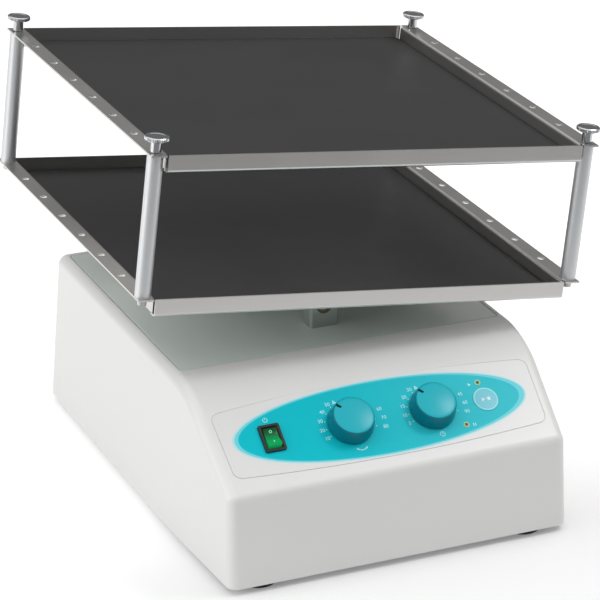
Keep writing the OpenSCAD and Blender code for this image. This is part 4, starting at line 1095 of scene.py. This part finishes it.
def knurled(z):
    ring = []
    for i in range(SCREW_STEPS):
        dip = 0.5 - 0.5 * cos(2 * pi * i / TOOTH_STEPS)
        r, a = THUMB_R - TOOTH * dip, 2 * pi * i / SCREW_STEPS
        ring.append((r * cos(a), r * sin(a), z))
    return ring


def thumb_screw(bm):
    stem = [at_height(circle(r, SCREW_STEPS), z) for r, z in STEM]
    face = [at_height(circle(r, SCREW_STEPS), z) for r, z in FACE]
    loft(bm, stem + [knurled(NECK_H + 0.6), knurled(HEAD_TOP - 0.6)] + face)


PLACES = ((-POST_X, -POST_Y), (POST_X, -POST_Y), (-POST_X, POST_Y), (POST_X, POST_Y))
for corner, (x, y) in zip(CORNERS, PLACES):
    name = "thumb_" + corner
    screw = new_piece(name + "_skin", bm_of(thumb_screw), thumb_chrome, name,
                      PLATFORM @ shift(x, y, FLANGE_TOP))
    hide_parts(name)
print("thumb screws made")

# %% [markdown]
# The mats fill the trays from lip to lip. Each one's lower edge is bevelled away over the
# bend of the tray, which closes the gap there, and its upper edge is slightly worn.

# %% Mats
TRAY_W, TRAY_D, LIP_H, TIER_PITCH, BEND_R = 305.0, 305.0, 12.2, 99.9, 1.0
MAT_T, MAT_FIT, MAT_R, MAT_WEAR = 1.5, 0.3, 3.0, 0.3
UPPER_FLOOR = FLANGE_TOP - LIP_H + SHEET_T


def mat_outline(grow):
    fit = 2 * (SHEET_T + MAT_FIT - grow)
    return rounded_rect(TRAY_W - fit, TRAY_D - fit, MAT_R + grow)


for name, z in (("upper", UPPER_FLOOR), ("lower", UPPER_FLOOR - TIER_PITCH)):
    levels = [(z, -BEND_R), (z + BEND_R - 0.1, 0), (z + MAT_T - MAT_WEAR, 0),
              (z + MAT_T, -MAT_WEAR)]
    mat = new_piece(name + "_mat_skin", bm_of(slab, mat_outline, levels), mat_rubber,
                    "rocker", PLATFORM)
    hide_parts(name + "_mat")
    print(name, "mat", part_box(name + "_mat"))

# %% [markdown]
# The floor is one plain pale face that runs far behind the object. Lit evenly, it would be
# greyer than the white backdrop. So the camera and polished metal see it with a faint glow
# that grows towards the back, while it still takes the object's shadow.

# %% The floor
FLOOR_FRONT, FLOOR_FAR = -620.0, 3000.0
GLOW_NEAR, GLOW_FAR = 0.14, 0.42
GLOW_FROM_Y, GLOW_TO_Y = -0.2, 0.0


def floor_material():
    paint = Paint("floor_white", (0.8, 0.8, 0.8), 0.55, Emission_Strength=1.0)
    cloud = paint.noise(0.4)
    paint.set("Base Color", paint.mix(cloud, (0.79, 0.79, 0.79), (0.81, 0.81, 0.81)))
    depth = paint.node("ShaderNodeSeparateXYZ", None, {"Vector": paint.place()}, output=1)
    far = depth.step(GLOW_FROM_Y, GLOW_TO_Y)
    seen = paint.node("ShaderNodeLightPath", output="Is Camera Ray")
    shone = paint.node("ShaderNodeLightPath", output="Is Glossy Ray")
    glow = (far * (GLOW_FAR - GLOW_NEAR) + GLOW_NEAR) * seen.larger(shone)
    paint.set("Emission Color", paint.mix(glow, (0.0, 0.0, 0.0), (1.0, 1.0, 1.0)))
    return paint.material


corners = ((-FLOOR_FAR, FLOOR_FRONT), (FLOOR_FAR, FLOOR_FRONT), (FLOOR_FAR, FLOOR_FAR),
           (-FLOOR_FAR, FLOOR_FAR))
mesh = bpy.data.meshes.new("floor")
mesh.from_pydata([(x * MM, y * MM, 0.0) for x, y in corners], [], [(0, 1, 2, 3)])
mesh.materials.append(floor_material())
floor = put("floor", mesh)
print("floor laid")

# %% [markdown]
# The studio is bright overhead and dim near the horizon, so upright faces are darker than
# level ones, and the polished sheet edges have something dark to reflect. Two ramps over the
# height give this, and the camera itself sees a plain white backdrop.

# %% The studio
SKY_TOP, SKY_RIM, SKY_LOW = 1.27, 0.17, 0.29
WHITE = (1.0, 1.0, 1.0, 1.0)
world = bpy.data.worlds.new("studio")
world.use_nodes = True
tree = world.node_tree
link = tree.links.new


def world_node(kind, **inputs):
    made = tree.nodes.new(kind)
    for name, value in inputs.items():
        made.inputs[name.replace("_", " ")].default_value = value
    return made


def ramp(source, low, high, low_value, high_value):
    made = world_node("ShaderNodeMapRange", From_Min=low, From_Max=high,
                      To_Min=low_value, To_Max=high_value)
    made.interpolation_type = "SMOOTHSTEP"
    link(source, made.inputs["Value"])
    return made.outputs["Result"]


height = world_node("ShaderNodeSeparateXYZ")
link(world_node("ShaderNodeTexCoord").outputs["Generated"], height.inputs[0])
total = world_node("ShaderNodeMath")
link(ramp(height.outputs["Z"], 0.25, 0.9, 0.0, SKY_TOP - SKY_RIM), total.inputs[0])
link(ramp(height.outputs["Z"], -0.1, 0.02, SKY_LOW, SKY_RIM), total.inputs[1])
light = world_node("ShaderNodeBackground", Color=WHITE)
link(total.outputs[0], light.inputs["Strength"])
backdrop = world_node("ShaderNodeBackground", Color=WHITE, Strength=1.0)
pick = world_node("ShaderNodeMixShader")
link(world_node("ShaderNodeLightPath").outputs["Is Camera Ray"], pick.inputs[0])
link(light.outputs[0], pick.inputs[1])
link(backdrop.outputs[0], pick.inputs[2])
link(pick.outputs[0], tree.nodes["World Output"].inputs["Surface"])
bpy.context.scene.world = world
print("studio lit")

# %% [markdown]
# Two soft boxes give the object its direction of light. A large one on the left brightens
# the side and the slope, and a small one, high on the right in front, puts the highlights on
# the knobs. A soft box is an area light: the larger it is, the softer its shadow.


# %% The soft boxes
def soft_box(name, at, aim, width, height, power):
    data = bpy.data.lights.new(name, "AREA")
    data.shape = "RECTANGLE"
    data.size = width
    data.size_y = height
    data.energy = power
    made = put(name, data)
    made.location = at
    made.rotation_euler = (Vector(aim) - Vector(at)).to_track_quat("-Z", "Y").to_euler()


soft_box("left_box", (-1.85, 0.1, 0.66), (0, 0, 0.1), 1.3, 0.9, 12)
soft_box("top_box", (0.78, -0.5, 1.25), (0, -0.1, 0.1), 0.28, 0.28, 3.5)
bpy.context.scene.view_settings.view_transform = "Standard"
print("stage set")
